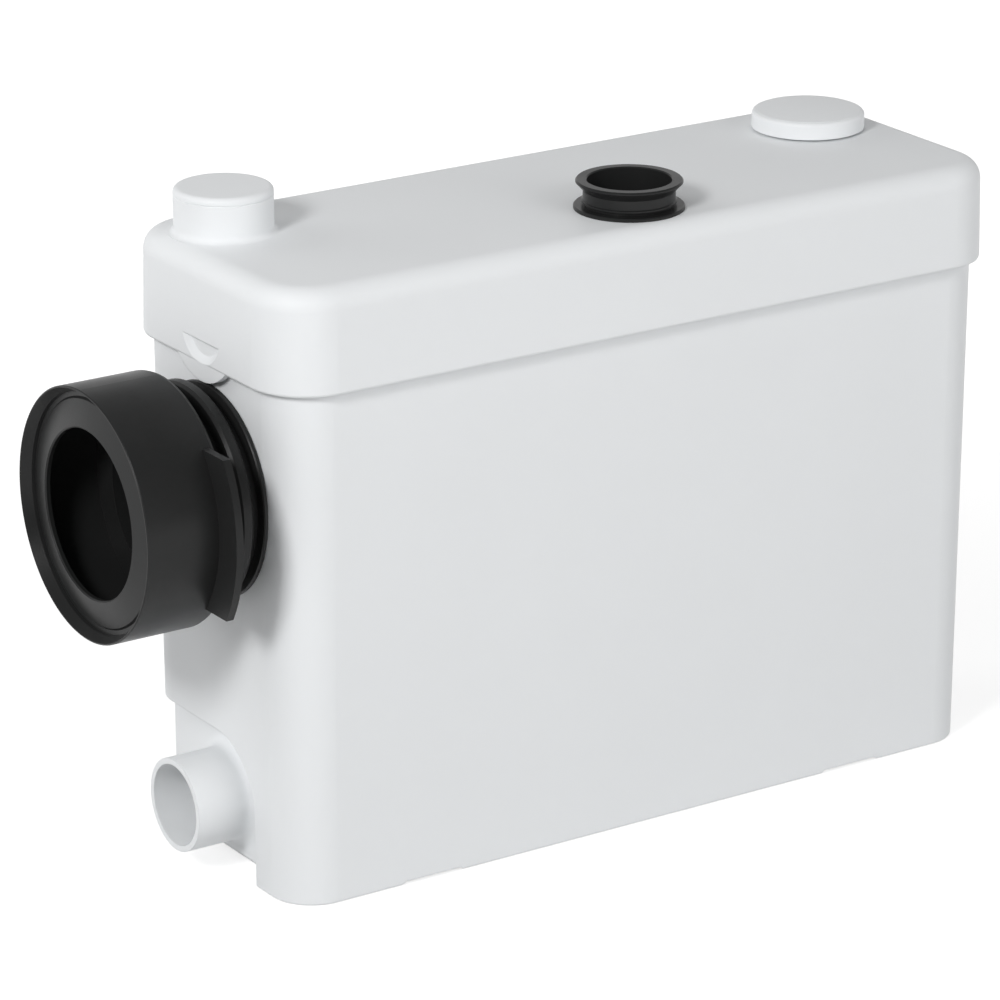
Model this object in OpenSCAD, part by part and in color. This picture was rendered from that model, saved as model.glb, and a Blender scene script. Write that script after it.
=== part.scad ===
// Macerator toilet pump: a slim tank with a clip-on lid, a rubber toilet inlet on the left end,
// a low side inlet beside it, and a motor that drives a cutter and a pump inside the tank.
// +X runs along the tank away from the toilet inlet, +Y to the back, +Z up. Sizes in millimetres.

/* [Tank] */
// Length of the lid at its lower edge
body_l = 374; // [350:1:420]
// Depth of the lid at its lower edge
body_d = 135; // [134:0.5:150]
// Plan radius of the lid's corners
corner_r = 26.4; // [25:0.2:32]
// Height of the lid's lower edge above the floor
lid_z = 229; // [226:1:260]
// Thickness of the tank's walls and floor
tank_wall = 4; // [3:0.1:4.6]
// Distance from the lid's outline in to the tank's wall
tank_inset = 4.4; // [4.2:0.1:5]
// Draft of the tank's walls in degrees
tank_draft = 0.42; // [0.2:0.02:0.6]
// Size of the rounding at the foot of the tank
foot_round = 0.6; // [0.4:0.1:3]
// Width of the two shallow channels across the underside
channel_w = 28; // [15:1:40]
// Height of those channels
channel_h = 1.3; // [0.8:0.1:2]
// Distance between those channels, centre to centre
channel_pitch = 224.5; // [160:0.5:240]

/* [Lid] */
// Height of the lid from its lower edge to its top
lid_h = 45.5; // [42:0.5:60]
// Thickness of the lid
lid_wall = 3.6; // [3:0.1:3.8]
// Draft of the lid's skirt in degrees
lid_draft = 1.04; // [0.5:0.02:1.5]
// Radius of the lid's top edge
lid_round = 9.2; // [6:0.2:11]
// Width of the clip tongue below the lid's left end
tongue_w = 38.4; // [30:0.2:42]
// Drop of the tongue below the lid's lower edge
tongue_drop = 7.6; // [5:0.2:8]
// Width of the finger pull above the tongue
pull_w = 30.6; // [24:0.2:34]
// Height of the finger pull
pull_h = 10.4; // [8:0.2:11]
// Depth of the finger pull
pull_deep = 2.4; // [1.6:0.1:2.6]
// Height of the rubber seal between the tank's rim and the lid
seal_h = 4; // [3:0.25:5]

/* [Toilet inlet] */
// Height of the inlet's axis above the floor
inlet_z = 173.2; // [165:0.5:175]
// Reach of the rubber sleeve past the lid's left end
inlet_reach = 58; // [52:0.5:70]
// Outside diameter of the sleeve's cup
sleeve_d = 110; // [106:0.5:116]
// Bore of the sleeve
throat_d = 73.4; // [68:0.2:74.4]
// Length of the sleeve's cup
cup_l = 39.4; // [34:0.2:42]
// Wall of the sleeve
sleeve_wall = 4; // [3:0.25:4.5]
// Depth of the sloped lip inside the sleeve's front edge
lip_deep = 4.4; // [3:0.2:6]
// Width of that lip
lip_w = 3.1; // [2.5:0.1:4]
// Distance from the sleeve's front in to the edge of its bore
face_in = 2.6; // [1.6:0.2:4]
// Diameter of the bead round the sleeve's neck
bead_d = 97.4; // [92:0.2:99]
// Length of that bead
bead_l = 6.2; // [4:0.2:7]
// Diameter of the sleeve's flange on the tank
flange_d = 93.6; // [90:0.2:94]
// Diameter of the hole in the tank that holds the sleeve
inlet_hole_d = 83; // [82:0.2:85]
// Diameter over the two wings on the cup
wing_d = 138; // [124:1:150]
// Height of the wings
wing_h = 70; // [50:1:80]
// Thickness of the wings
wing_t = 3.4; // [2.5:0.1:5]

/* [Side inlet] */
// Outside diameter of the side inlet spigot
spigot_d = 41.4; // [36:0.2:42]
// Wall of the spigot
spigot_wall = 2.6; // [1.6:0.1:3]
// Length of the spigot from the wall of its recess
spigot_l = 29; // [24:0.2:42]
// Height of the spigot's axis above the floor
spigot_z = 32.4; // [31:0.2:36]
// Place of the spigot's axis towards the back
spigot_y = 2.2; // [-2:0.2:4]
// Radius of the recess round the spigot
recess_r = 30.3; // [28:0.1:32]
// Distance from the lid's left end in to the wall of the recess
recess_in = 13; // [10:0.2:20]
// Radius of the turn from the recess's wall to the back
recess_corner = 14; // [8:0.2:16]
// Slope cut off the foot of the recess's wall
recess_slope = 5.2; // [2:0.2:5.6]
// Radius of the fillet at the foot of the spigot
spigot_fillet = 6; // [3:0.25:7]

/* [Top inlet] */
// Bore of the rubber top sleeve
top_bore = 36.6; // [33:0.2:37.5]
// Height of the top sleeve above the lid
top_h = 12.7; // [11:0.1:18]
// Diameter of the top sleeve's upper flange
top_flange_d = 46.4; // [44:0.2:50]
// Diameter of the flange that lies on the lid
top_seat_d = 48.2; // [46:0.2:52]
// Diameter of the hole in the lid that holds the top sleeve
top_hole_d = 40.4; // [40:0.2:42]
// Place of the top sleeve to the right of the middle of the lid
top_x = 6.2; // [-5:0.2:12]
// Distance from the front of the lid to the top sleeve's axis
top_in = 32.8; // [32:0.2:40]

/* [Discharge] */
// Distance from the lid's left end to the axis of the discharge stub
outlet_in = 30.8; // [30:0.2:36]
// Distance from the back of the lid to the axis of the discharge stub
outlet_back = 36.1; // [35:0.2:40]
// Outside diameter of the discharge stub and its cap
outlet_d = 42.8; // [42:0.2:46]
// Bore of the discharge stub
outlet_bore = 35; // [34.4:0.2:36]
// Height of the stub above the lid
outlet_h = 16.2; // [14:0.2:24]
// Height of the cap on the stub
outlet_cap_h = 3.4; // [3:0.2:8]
// Depth of the seam between the stub and its cap
outlet_seam = 0.3; // [0.2:0.05:0.5]
// Bore of the discharge hose
hose_bore = 22; // [20:0.5:23]
// Wall of the discharge hose
hose_wall = 2.5; // [2:0.1:3]
// Bend radius of the discharge hose
hose_bend = 32; // [28:1:40]

/* [Vent] */
// Distance from the lid's right end to the axis of the vent
vent_in = 39.9; // [39:0.2:50]
// Distance from the back of the lid to the axis of the vent
vent_back = 41.5; // [40:0.2:50]
// Diameter of the vent cap
vent_d = 51; // [46:0.5:54]
// Height of the vent cap above the lid
vent_h = 9.6; // [8.5:0.1:14]
// Shadow gap under the vent cap
vent_gap = 1; // [0.6:0.1:2]

/* [Pump] */
// Distance from the lid's right end to the motor's axis
motor_in = 104; // [100:1:112]
// Gap between the motor's flange and the tank's walls
flange_gap = 2.45; // [2:0.05:4]
// Width of the motor's flange round its housing
flange_w = 8; // [7:0.25:10]
// Length of the motor's housing
motor_l = 116; // [112:1:122]
// Diameter of the motor's shaft
shaft_d = 12; // [10:0.5:13]
// Diameter of the rotor as a share of the motor's bore
rotor_share = 0.534; // [0.46:0.002:0.57]
// Length of the rotor and of the stator's core
stack_l = 45; // [35:1:48]
// Step from the motor's flange in to the pump's casing and the cutter's basket
pump_step = 5; // [3:0.25:6]
// Wall of the pump's casing
pump_wall = 5; // [4:0.25:6]
// Height of the pump's casing
pump_h = 30; // [28:0.5:33]
// Height of the feet under the pump
pump_foot_h = 10; // [9:0.5:12]
// Height of the cutter's basket
basket_h = 50; // [44:1:54]
// Gap between the cutter and its basket
cutter_gap = 5.5; // [4:0.25:10]
// Gap between the impeller and the pump's casing
impeller_gap = 5; // [3:0.25:10]

/* [Pressure switch] */
// Place of the pressure switch to the right of the tank's middle
switch_x = -39; // [-60:1:-30]
// Gap between the switch and the tank's front wall
switch_gap = 1.45; // [1:0.05:4]
// Outside diameter of the air bell
bell_d = 22; // [18:0.5:24]
// Height of the air bell
bell_h = 146; // [110:1:155]
// Diameter of the switch's body
switch_d = 40; // [36:0.5:41]
// Travel of the switch's plunger
switch_travel = 3; // [1.5:0.25:4]

/* [Fits] */
// Gap round pieces that lift off
lift_gap = 0.3; // [0.2:0.05:0.4]
// Gap round turning shafts and pins
run_gap = 0.05; // [0.02:0.01:0.1]

/* [Hidden] */
$fn = 96;

// Colours of the real materials
white_plastic = [0.93, 0.93, 0.93];
grey_plastic = [0.62, 0.64, 0.66];
black_plastic = [0.16, 0.16, 0.17];
black_rubber = [0.1, 0.1, 0.11];
steel = [0.72, 0.73, 0.75];
copper = [0.72, 0.42, 0.22];
carbon = [0.2, 0.2, 0.2];

// Small overshoot that carries a cut past a face
over = 1;

// Plan of the tank: a core rectangle that every wall profile is swept round
tank_x = inlet_reach / 2;
core_x = body_l / 2 - corner_r;
core_y = body_d / 2 - corner_r;
left_end = tank_x - body_l / 2;
right_end = tank_x + body_l / 2;

// Heights of the lid and the tank's rim
lid_top = lid_z + lid_h;
lid_under = lid_top - lid_wall;
rib_h = 4;
rim_z = lid_under - rib_h - seal_h;
shoulder_z = lid_z + 4;

// Wall profile of the tank, measured out from the core
tank_r = corner_r - tank_inset;
neck_step = 1.2;
neck_wall = 2.6;
neck_r = tank_r - neck_step;
function tank_r_at(z) = tank_r - (lid_z - z) * tan(tank_draft);
function hollow_r_at(z) = min(tank_r_at(z) - tank_wall, neck_r - neck_wall);

// Half the depth inside the tank at its floor
inner_half = core_y + tank_r_at(tank_wall) - tank_wall;

// Flat seats moulded on the drafted walls
seat_proud = 0.6;
seat_in = 2.2;
inlet_seat_x = tank_x - core_x - tank_r_at(inlet_z) - seat_proud;
inlet_seat_t = tank_wall + 2 * seat_proud;

// Toilet sleeve, by distance out from its seat
sleeve_end = inlet_seat_x - left_end + inlet_reach;
cup_back = sleeve_end - cup_l;
flange_t = 2.2;
bead_gap = 5.7;
bead_front = flange_t + bead_gap + bead_l;
neck_bore = throat_d + 1.6;
wing_back = 2.5;
edge_soft = 1.2;

// Recess and spigot of the side inlet
recess_x = left_end + recess_in;
recess_back = core_y + tank_r_at(spigot_z);
spigot_bore = spigot_d - 2 * spigot_wall;

// Valve flap of the side inlet
flap_t = 3;
flap_lap = 2.8;
flap_r = spigot_bore / 2 + flap_lap;
side_seat_x = recess_x + tank_wall;
side_pin_r = 1.5;
side_barrel_r = 2.7;
side_hinge_x = side_seat_x + flap_t + 0.2;
side_hinge_z = spigot_z + flap_r + 4;
side_barrel_l = 12;
ear_t = 2.5;

// Places on the lid
top_at = [tank_x + top_x, top_in - body_d / 2];
outlet_at = [left_end + outlet_in, body_d / 2 - outlet_back];
vent_at = [right_end - vent_in, body_d / 2 - vent_back];
vent_hole_d = 28.6;
filter_d = 40;
filter_h = 8;

// Discharge valve in its cup, under the cap
cup_r = outlet_bore / 2 - lift_gap;
cup_wall = 2.6;
cup_floor = 3.5;
plug_l = 5.6;
valve_top = lid_top + outlet_h - plug_l - 1;
valve_h = 32;
valve_z = valve_top - valve_h;
valve_floor_z = valve_z + cup_floor;
valve_seat_r = 8.5;
valve_flap_r = 11;
valve_flap_t = 2.5;
valve_hinge_x = 10.2;
valve_hinge_z = valve_floor_z + valve_flap_t;
valve_ear_t = 1.8;
valve_pin_r = 1.25;
valve_barrel_r = 2.4;
valve_barrel_l = 11;
tail_l = 18;
hose_r = hose_bore / 2 + hose_wall;
tail_r = hose_bore / 2 - 0.1;
tail_wall = 2;

// Motor and pump, stacked up from the tank's floor
motor_x = right_end - motor_in;
plate_d = 2 * (inner_half - flange_gap);
motor_d = plate_d - 2 * flange_w;
pump_d = plate_d - 2 * pump_step;
basket_wall = 2.5;
cutter_d = pump_d - 2 * (basket_wall + cutter_gap);
impeller_d = pump_d - 2 * (pump_wall + impeller_gap);
cover_z = tank_wall + pump_foot_h;
cover_t = 4;
volute_z = cover_z + cover_t;
volute_top = volute_z + pump_h;
plate_z = volute_top + basket_h;
plate_t = 12;
housing_z = plate_z + plate_t;
housing_top = housing_z + motor_l;
motor_wall = 3;
motor_flange_t = 4;
bearing_d = 26;
bearing_h = 8;
bearing_sunk = 6;
seal_d = 22;
seal_l = 5;
stack_lift = 25;
stack_z = housing_z + stack_lift;
coil_h = 14;
air_gap = 0.5;
stator_d = motor_d - 2 * motor_wall;
rotor_d = rotor_share * stator_d;
stator_bore = rotor_d + 2 * air_gap;
stator_wall = (stator_d - stator_bore) / 2;
shaft_foot = volute_z - 2;
upper_bearing_z = housing_top - motor_wall - bearing_sunk - bearing_h;
shaft_top = upper_bearing_z + bearing_h + 2;
eye_d = 32;
impeller_z = volute_z + 3;
impeller_h = 19;
cutter_z = volute_top + 14;
screw_ring_r = motor_d / 2 + flange_w / 2;
screw_d = 4;
cover_screw_d = 3;
cover_screw_r = pump_d / 2 - pump_wall / 2;
cover_screw_turn = 60;
cover_hole_d = cover_screw_d + 0.1;
cover_thread_l = 8;

// Discharge hose: falls from the valve cup, bends, and slopes down to the pump
hose_clear = 26;
hose_stop = 4;
hose_bend_z = spigot_z + recess_r + tank_wall + hose_clear;
hose_bend_x = outlet_at[0] + hose_bend;
hose_end_x = motor_x - pump_d / 2 - hose_stop;
hose_end_z = volute_z + pump_h / 2;
hose_rise = hose_bend_z - hose_end_z;
hose_run = hose_end_x - hose_bend_x;
hose_fall = acos(hose_bend / norm([hose_rise, hose_run])) - atan2(hose_run, hose_rise);
slope_l = (hose_run + hose_bend * sin(hose_fall)) / cos(hose_fall);
pump_bore = 17;
clip_t = 1.2;
clip_w = 9;

// Pressure switch
switch_at = [tank_x + switch_x, switch_d / 2 + switch_gap - inner_half];
bell_z = tank_wall;
bell_wall = 2;
bell_flange_t = 4;
diaphragm_z = bell_z + bell_h + bell_flange_t;
diaphragm_t = 2;
switch_z = diaphragm_z + diaphragm_t;
switch_h = 30;
switch_roof = 10;
stem_d = 8;
stem_proud = 4;

// Electrical pieces on top of the motor
capacitor_d = 35;
capacitor_h = 36;
box_l = 40;
box_w = 64;
box_h = 26;
gland_aside = 40;
gland_drop = 25;
gland_x = motor_x + gland_aside;
gland_z = lid_z - gland_drop;
gland_hole_d = 16;
gland_flange_d = 23;
gland_seat_y = core_y + tank_r_at(gland_z) + seat_proud;
gland_t = 3.6;

// Sweeps a profile, drawn outwards from the core, round the four sides and corners of the plan
module around() {
    for (turn = [0 : 3]) {
        side_x = (turn == 0 || turn == 3) ? 1 : -1;
        side_y = turn < 2 ? 1 : -1;
        translate([tank_x + side_x * core_x, side_y * core_y, 0])
            rotate([0, 0, 90 * turn])
                rotate_extrude(angle = 90) children();
    }
    for (side = [0, 1]) {
        translate([tank_x, 0, 0]) mirror([0, side, 0]) translate([-core_x, core_y, 0])
            rotate([90, 0, 90]) linear_extrude(2 * core_x) children();
        translate([tank_x, 0, 0]) mirror([side, 0, 0]) translate([core_x, core_y, 0])
            rotate([90, 0, 0]) linear_extrude(2 * core_y) children();
    }
}

// Fills the core rectangle between two heights
module core_block(low, high) {
    translate([tank_x - core_x, -core_y, low])
        cube([2 * core_x, 2 * core_y, high - low]);
}

// Stands a piece on the toilet inlet's axis, with its height running out from the tank
module on_inlet() {
    translate([inlet_seat_x, 0, inlet_z]) rotate([0, -90, 0]) children();
}

// Stands a piece on the side inlet's axis, with its height running out from the recess wall
module on_spigot() {
    translate([recess_x, spigot_y, spigot_z]) rotate([0, -90, 0]) children();
}

// Lays a cylinder along Y, centred on the point
module across(r, l) {
    rotate([90, 0, 0]) cylinder(r = r, h = l, center = true);
}

// A tube from one height to another
module tube(outer, inner, low, high) {
    translate([0, 0, low]) difference() {
        cylinder(r = outer, h = high - low);
        translate([0, 0, -over]) cylinder(r = inner, h = high - low + 2 * over);
    }
}

// A disc with a rounded top edge
module soft_disc(r, h, soft) {
    rotate_extrude() {
        square([r - soft, h]);
        square([r, h - soft]);
        translate([r - soft, h - soft]) intersection() {
            circle(soft);
            square(soft);
        }
    }
}

// Profile of a concave fillet at the foot of a round post
module foot_fillet(r, fillet) {
    difference() {
        translate([r - over, -over]) square([fillet + over, fillet + over]);
        translate([r + fillet, fillet]) circle(fillet);
    }
}

// Copies a piece evenly round the motor's axis
module round_motor(count, start) {
    for (k = [0 : count - 1])
        translate([motor_x, 0, 0]) rotate([0, 0, start + 360 * k / count]) children();
}

// Outline of the tank's outer wall
module tank_outline() {
    foot_r = tank_r_at(0);
    polygon([
        [0, 0], [foot_r - foot_round, 0], [foot_r - 0.3 * foot_round, 0.3 * foot_round],
        [tank_r_at(foot_round), foot_round], [tank_r_at(shoulder_z), shoulder_z],
        [neck_r, shoulder_z], [neck_r, rim_z], [0, rim_z]
    ]);
}

// Outline of the space inside the tank
module tank_hollow() {
    floor_r = tank_r_at(tank_wall) - tank_wall;
    floor_soft = 4;
    polygon([
        [0, tank_wall], [floor_r - floor_soft, tank_wall], [floor_r, tank_wall + floor_soft],
        [hollow_r_at(lid_z), lid_z], [hollow_r_at(lid_z), rim_z + over], [0, rim_z + over]
    ]);
}

// Section across the recess of the side inlet, which runs out to the back and to the floor
module recess_section(grow) {
    r = recess_r + grow;
    translate([spigot_y, spigot_z]) intersection() {
        circle(r);
        translate([-r, 0]) square(r);
    }
    translate([spigot_y, -over]) square([body_d, spigot_z + r + over]);
    translate([spigot_y - r, -over]) square([r, spigot_z + over]);
}

// Plan of the recess, whose wall turns round to the back in an arc
module recess_plan(grow) {
    arc_at = [recess_x + recess_corner, recess_back - recess_corner];
    translate([left_end - over, -body_d]) square([recess_in + grow + over, 2 * body_d]);
    difference() {
        translate([recess_x, arc_at.y]) square([recess_corner, body_d]);
        translate(arc_at) circle(recess_corner - grow);
    }
}

// The recess as a block that cuts in from the left end
module recess_block(grow) {
    intersection() {
        translate([left_end - over, 0, 0])
            rotate([90, 0, 90]) linear_extrude(recess_in + recess_corner + 2 * over) recess_section(grow);
        translate([0, 0, -2 * over]) linear_extrude(lid_z) recess_plan(grow);
    }
}

// The slope at the foot of the recess's wall, as a prism from the recess's front side to the back
module recess_foot() {
    foot_end = recess_slope + over;
    translate([recess_x, body_d, 0]) rotate([90, 0, 0]) linear_extrude(body_d - spigot_y + recess_r)
        polygon([[-over, -over], [foot_end, -over], [-over, foot_end]]);
}

// The side inlet's pipe with its filleted foot
module spigot() {
    on_spigot() rotate_extrude() {
        translate([spigot_bore / 2, -over]) square([spigot_wall, spigot_l + over]);
        foot_fillet(spigot_d / 2, spigot_fillet);
    }
}

// Ears that hold the side flap's pin
module side_ears() {
    reach = side_hinge_x - side_seat_x + over;
    aside = side_barrel_l / 2 + lift_gap + ear_t / 2;
    for (side = [-1, 1]) translate([side_seat_x - over, spigot_y + side * aside, side_hinge_z]) {
        translate([0, -ear_t / 2, -side_barrel_r]) cube([reach, ear_t, 2 * side_barrel_r]);
        translate([reach, 0, 0]) across(side_barrel_r, ear_t);
    }
}

// A shallow channel with sloped sides, from the back to the front
module floor_channel() {
    half = channel_w / 2;
    slope = 1.4;
    rotate([90, 0, 0]) linear_extrude(body_d) polygon([
        [-half - slope * (channel_h + over), -over], [half + slope * (channel_h + over), -over],
        [half, channel_h], [-half, channel_h]
    ]);
}

module tank() {
    color(white_plastic) difference() {
        union() {
            difference() {
                union() {
                    around() tank_outline();
                    core_block(0, rim_z);
                }
                difference() {
                    union() {
                        around() tank_hollow();
                        core_block(tank_wall, rim_z + over);
                    }
                    recess_block(tank_wall);
                }
                recess_block(0);
                recess_foot();
            }
            on_inlet() translate([0, 0, -inlet_seat_t])
                cylinder(d = flange_d - 2 * seat_in, h = inlet_seat_t);
            translate([gland_x, gland_seat_y, gland_z]) rotate([90, 0, 0])
                cylinder(d = gland_flange_d + 3, h = inlet_seat_t);
            spigot();
            side_ears();
        }
        on_inlet() translate([0, 0, -inlet_seat_t - over])
            cylinder(d = inlet_hole_d, h = inlet_seat_t + 2 * over);
        translate([gland_x, gland_seat_y + over, gland_z]) rotate([90, 0, 0])
            cylinder(d = gland_hole_d, h = inlet_seat_t + 2 * over);
        on_spigot() translate([0, 0, -tank_wall - over])
            cylinder(d = spigot_bore, h = spigot_l + tank_wall + 2 * over);
        translate([side_hinge_x, spigot_y, side_hinge_z])
            across(side_pin_r, side_barrel_l + 4 * ear_t);
        for (side = [-1, 1])
            translate([tank_x + side * channel_pitch / 2, body_d / 2, 0]) floor_channel();
    }
}

// Outline of the lid's outer skin, with its top edge as a true arc
module lid_outline() {
    arc_z = lid_top - lid_round;
    skirt_r = corner_r - (arc_z - lid_z) * tan(lid_draft);
    arc_r = skirt_r - lid_round / cos(lid_draft);
    touch = [arc_r + lid_round * cos(lid_draft), arc_z + lid_round * sin(lid_draft)];
    polygon([
        [0, lid_z], [corner_r - edge_soft, lid_z], [corner_r - 0.3 * edge_soft, lid_z + 0.3 * edge_soft],
        [corner_r - edge_soft * tan(lid_draft), lid_z + edge_soft], touch, [arc_r, arc_z], [arc_r, lid_top],
        [0, lid_top]
    ]);
    translate([arc_r, arc_z]) intersection() {
        circle(lid_round);
        polygon([[0, 0], [2 * lid_round * cos(lid_draft), 2 * lid_round * sin(lid_draft)],
            [2 * lid_round, 2 * lid_round], [0, 2 * lid_round]]);
    }
}

// Outline of the space under the lid
module lid_hollow() {
    inner_r = corner_r - lid_wall;
    inner_soft = 4;
    polygon([
        [0, lid_z - over], [inner_r, lid_z - over], [inner_r, lid_under - inner_soft],
        [inner_r - inner_soft, lid_under], [0, lid_under]
    ]);
}

// Half-moon tongue that hangs below the lid's left end
module tongue() {
    tongue_r = (pow(tongue_w / 2, 2) + pow(tongue_drop, 2)) / (2 * tongue_drop);
    root = 6;
    skin = 0.3;
    intersection() {
        translate([left_end + skin, 0, lid_z - tongue_drop + tongue_r]) rotate([0, 90, 0])
            cylinder(r = tongue_r, h = lid_wall - 2 * skin);
        translate([left_end, -tongue_w / 2, lid_z - tongue_drop])
            cube([lid_wall, tongue_w, tongue_drop + root]);
    }
}

// Scoop of the finger pull: a shallow cone cut off flat at the top
module finger_pull() {
    pull_r = (pow(pull_w / 2, 2) + pow(pull_h, 2)) / (2 * pull_h);
    lean = 3.4;
    translate([left_end, 0, lid_z + pull_r]) rotate([0, 90, 0]) intersection() {
        rotate_extrude() polygon([
            [0, -over], [pull_r, -over], [pull_r, 0], [pull_r - lean, pull_deep], [0, pull_deep]
        ]);
        translate([pull_r - pull_h, -pull_w, -2 * over])
            cube([pull_h + over, 2 * pull_w, pull_deep + 4 * over]);
    }
}

module lid() {
    stub_fillet = 2.5;
    color(white_plastic) difference() {
        union() {
            difference() {
                union() {
                    around() lid_outline();
                    core_block(lid_z, lid_top);
                }
                around() lid_hollow();
                core_block(lid_z - over, lid_under);
            }
            around() translate([neck_r - neck_wall, lid_under - rib_h]) square([neck_wall, rib_h + over]);
            tongue();
            translate([outlet_at[0], outlet_at[1], lid_top]) {
                translate([0, 0, -lid_wall]) cylinder(d = outlet_d, h = outlet_h + lid_wall - outlet_seam);
                translate([0, 0, outlet_h - outlet_seam])
                    cylinder(d1 = outlet_d, d2 = outlet_d - 2 * outlet_seam, h = outlet_seam);
                rotate_extrude() foot_fillet(outlet_d / 2, stub_fillet);
            }
            translate([vent_at[0], vent_at[1], lid_under - filter_h])
                cylinder(d = filter_d + 5, h = filter_h + over);
        }
        finger_pull();
        translate([outlet_at[0], outlet_at[1], lid_under - over])
            cylinder(d = outlet_bore, h = lid_wall + outlet_h + 2 * over);
        translate([top_at[0], top_at[1], lid_under - over]) cylinder(d = top_hole_d, h = lid_wall + 2 * over);
        translate([vent_at[0], vent_at[1], lid_under - filter_h - over]) {
            cylinder(d = filter_d, h = filter_h + over);
            cylinder(d = vent_hole_d, h = filter_h + lid_wall + 3 * over);
        }
    }
}

module lid_seal() {
    color(black_rubber) around()
        translate([neck_r - neck_wall, rim_z]) square([neck_wall, seal_h]);
}

// Profile of the toilet sleeve: radius against distance out from the tank's seat
module sleeve_profile() {
    cup_r = sleeve_d / 2;
    neck_r_out = inlet_hole_d / 2;
    bead_r = bead_d / 2;
    flange_r = flange_d / 2;
    bead_back = flange_t + bead_gap;
    front_soft = 0.4;
    lip_r = cup_r - lip_w;
    lip_z = sleeve_end - lip_deep;
    groove_z = lip_z - 1.6;
    groove_w = 2.2;
    rise = 0.9;
    face = sleeve_end - face_in;
    lip_t = 2.4;
    membrane = 3.6;
    tail_flange_t = 3;
    polygon([
        [neck_bore / 2, -inlet_seat_t - tail_flange_t], [flange_r - 2, -inlet_seat_t - tail_flange_t],
        [flange_r - 2, -inlet_seat_t], [neck_r_out, -inlet_seat_t], [neck_r_out, 0],
        [flange_r - 0.5, 0], [flange_r, 0.5], [flange_r, flange_t - 0.5], [flange_r - 0.5, flange_t],
        [neck_r_out, flange_t], [neck_r_out, bead_back], [bead_r - edge_soft, bead_back],
        [bead_r, bead_back + edge_soft], [bead_r, bead_front - edge_soft], [bead_r - edge_soft, bead_front],
        [neck_r_out, bead_front], [neck_r_out, cup_back], [cup_r - 1.5 * edge_soft, cup_back],
        [cup_r - 0.4 * edge_soft, cup_back + 0.4 * edge_soft], [cup_r, cup_back + 1.5 * edge_soft],
        [cup_r, sleeve_end - front_soft], [cup_r - front_soft, sleeve_end],
        [cup_r - 2 * front_soft, sleeve_end], [lip_r, lip_z], [lip_r - 0.3, groove_z],
        [lip_r - groove_w, groove_z],
        [lip_r - groove_w - rise, groove_z + rise], [throat_d / 2 + 0.6, face], [throat_d / 2, face - 0.6],
        [throat_d / 2, face - lip_t], [cup_r - sleeve_wall, groove_z - membrane],
        [cup_r - sleeve_wall, cup_back + sleeve_wall], [neck_bore / 2, cup_back + sleeve_wall]
    ]);
}

module wc_sleeve() {
    color(black_rubber) on_inlet() {
        rotate_extrude() sleeve_profile();
        for (side = [0, 1]) mirror([0, side, 0])
            translate([0, 0, cup_back + wing_back]) intersection() {
                tube(wing_d / 2, sleeve_d / 2 - sleeve_wall / 2, 0, wing_t);
                translate([-wing_h / 2, 0, -over]) cube([wing_h, wing_d, wing_t + 2 * over]);
            }
    }
}

module top_sleeve() {
    bore_r = top_bore / 2;
    hole_r = top_hole_d / 2;
    seat_t = 1.5;
    lip_r = hole_r + 0.5;
    undercut_r = hole_r - 1;
    keeper_t = 2.5;
    tail = 10;
    flange_r = top_flange_d / 2;
    flange_rim = 1.6;
    color(black_rubber) translate([top_at[0], top_at[1], lid_top]) rotate_extrude() polygon([
        [bore_r, -lid_wall - tail], [hole_r - 0.6, -lid_wall - tail], [hole_r, -lid_wall - tail + 1.5],
        [hole_r, -lid_wall - keeper_t], [hole_r + 3, -lid_wall - keeper_t + 0.8], [hole_r + 3, -lid_wall],
        [hole_r, -lid_wall], [hole_r, 0], [top_seat_d / 2, 0], [top_seat_d / 2, seat_t - 0.5],
        [top_seat_d / 2 - 0.5, seat_t], [undercut_r, seat_t], [undercut_r, seat_t + 1.6],
        [lip_r, seat_t + 1.6], [lip_r, seat_t + 2.2], [hole_r - 0.2, seat_t + 2.6],
        [hole_r - 0.2, top_h - 4.6], [flange_r - 0.6, top_h - flange_rim],
        [flange_r, top_h - flange_rim + 0.5], [flange_r, top_h - 0.6], [flange_r - 0.6, top_h],
        [bore_r + 0.5, top_h], [bore_r, top_h - 0.5]
    ]);
}

module discharge_cap() {
    soft = 2.4;
    rim_h = plug_l - 1.4;
    rim_wall = 2;
    plug_r = outlet_bore / 2 - lift_gap;
    seam_r = outlet_d / 2 - outlet_seam;
    color(white_plastic) translate([outlet_at[0], outlet_at[1], lid_top + outlet_h]) {
        intersection() {
            soft_disc(outlet_d / 2, outlet_cap_h, soft);
            cylinder(r1 = seam_r, r2 = seam_r + outlet_cap_h, h = outlet_cap_h);
        }
        tube(plug_r, plug_r - rim_wall, -rim_h, over);
    }
}

module vent_cap() {
    soft = 2;
    dome_r = 320;
    post_r = vent_hole_d / 2 - lift_gap;
    foot_r = vent_d / 2 - 5;
    color(white_plastic) translate([vent_at[0], vent_at[1], lid_top]) {
        rotate_extrude() intersection() {
            union() {
                translate([0, vent_gap]) square([vent_d / 2 - soft, vent_h - vent_gap]);
                translate([0, vent_gap]) square([vent_d / 2, vent_h - vent_gap - soft - 1]);
                translate([vent_d / 2 - soft, vent_h - soft - 1]) circle(soft);
            }
            translate([0, vent_h - dome_r]) circle(dome_r, $fn = 360);
        }
        tube(foot_r, post_r - 2, 0, vent_gap + over);
        tube(post_r, post_r - 2, -lid_wall, over);
    }
}

module vent_filter() {
    color(carbon) translate([vent_at[0], vent_at[1], lid_under - filter_h])
        cylinder(d = filter_d, h = filter_h - 0.5);
}

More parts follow.
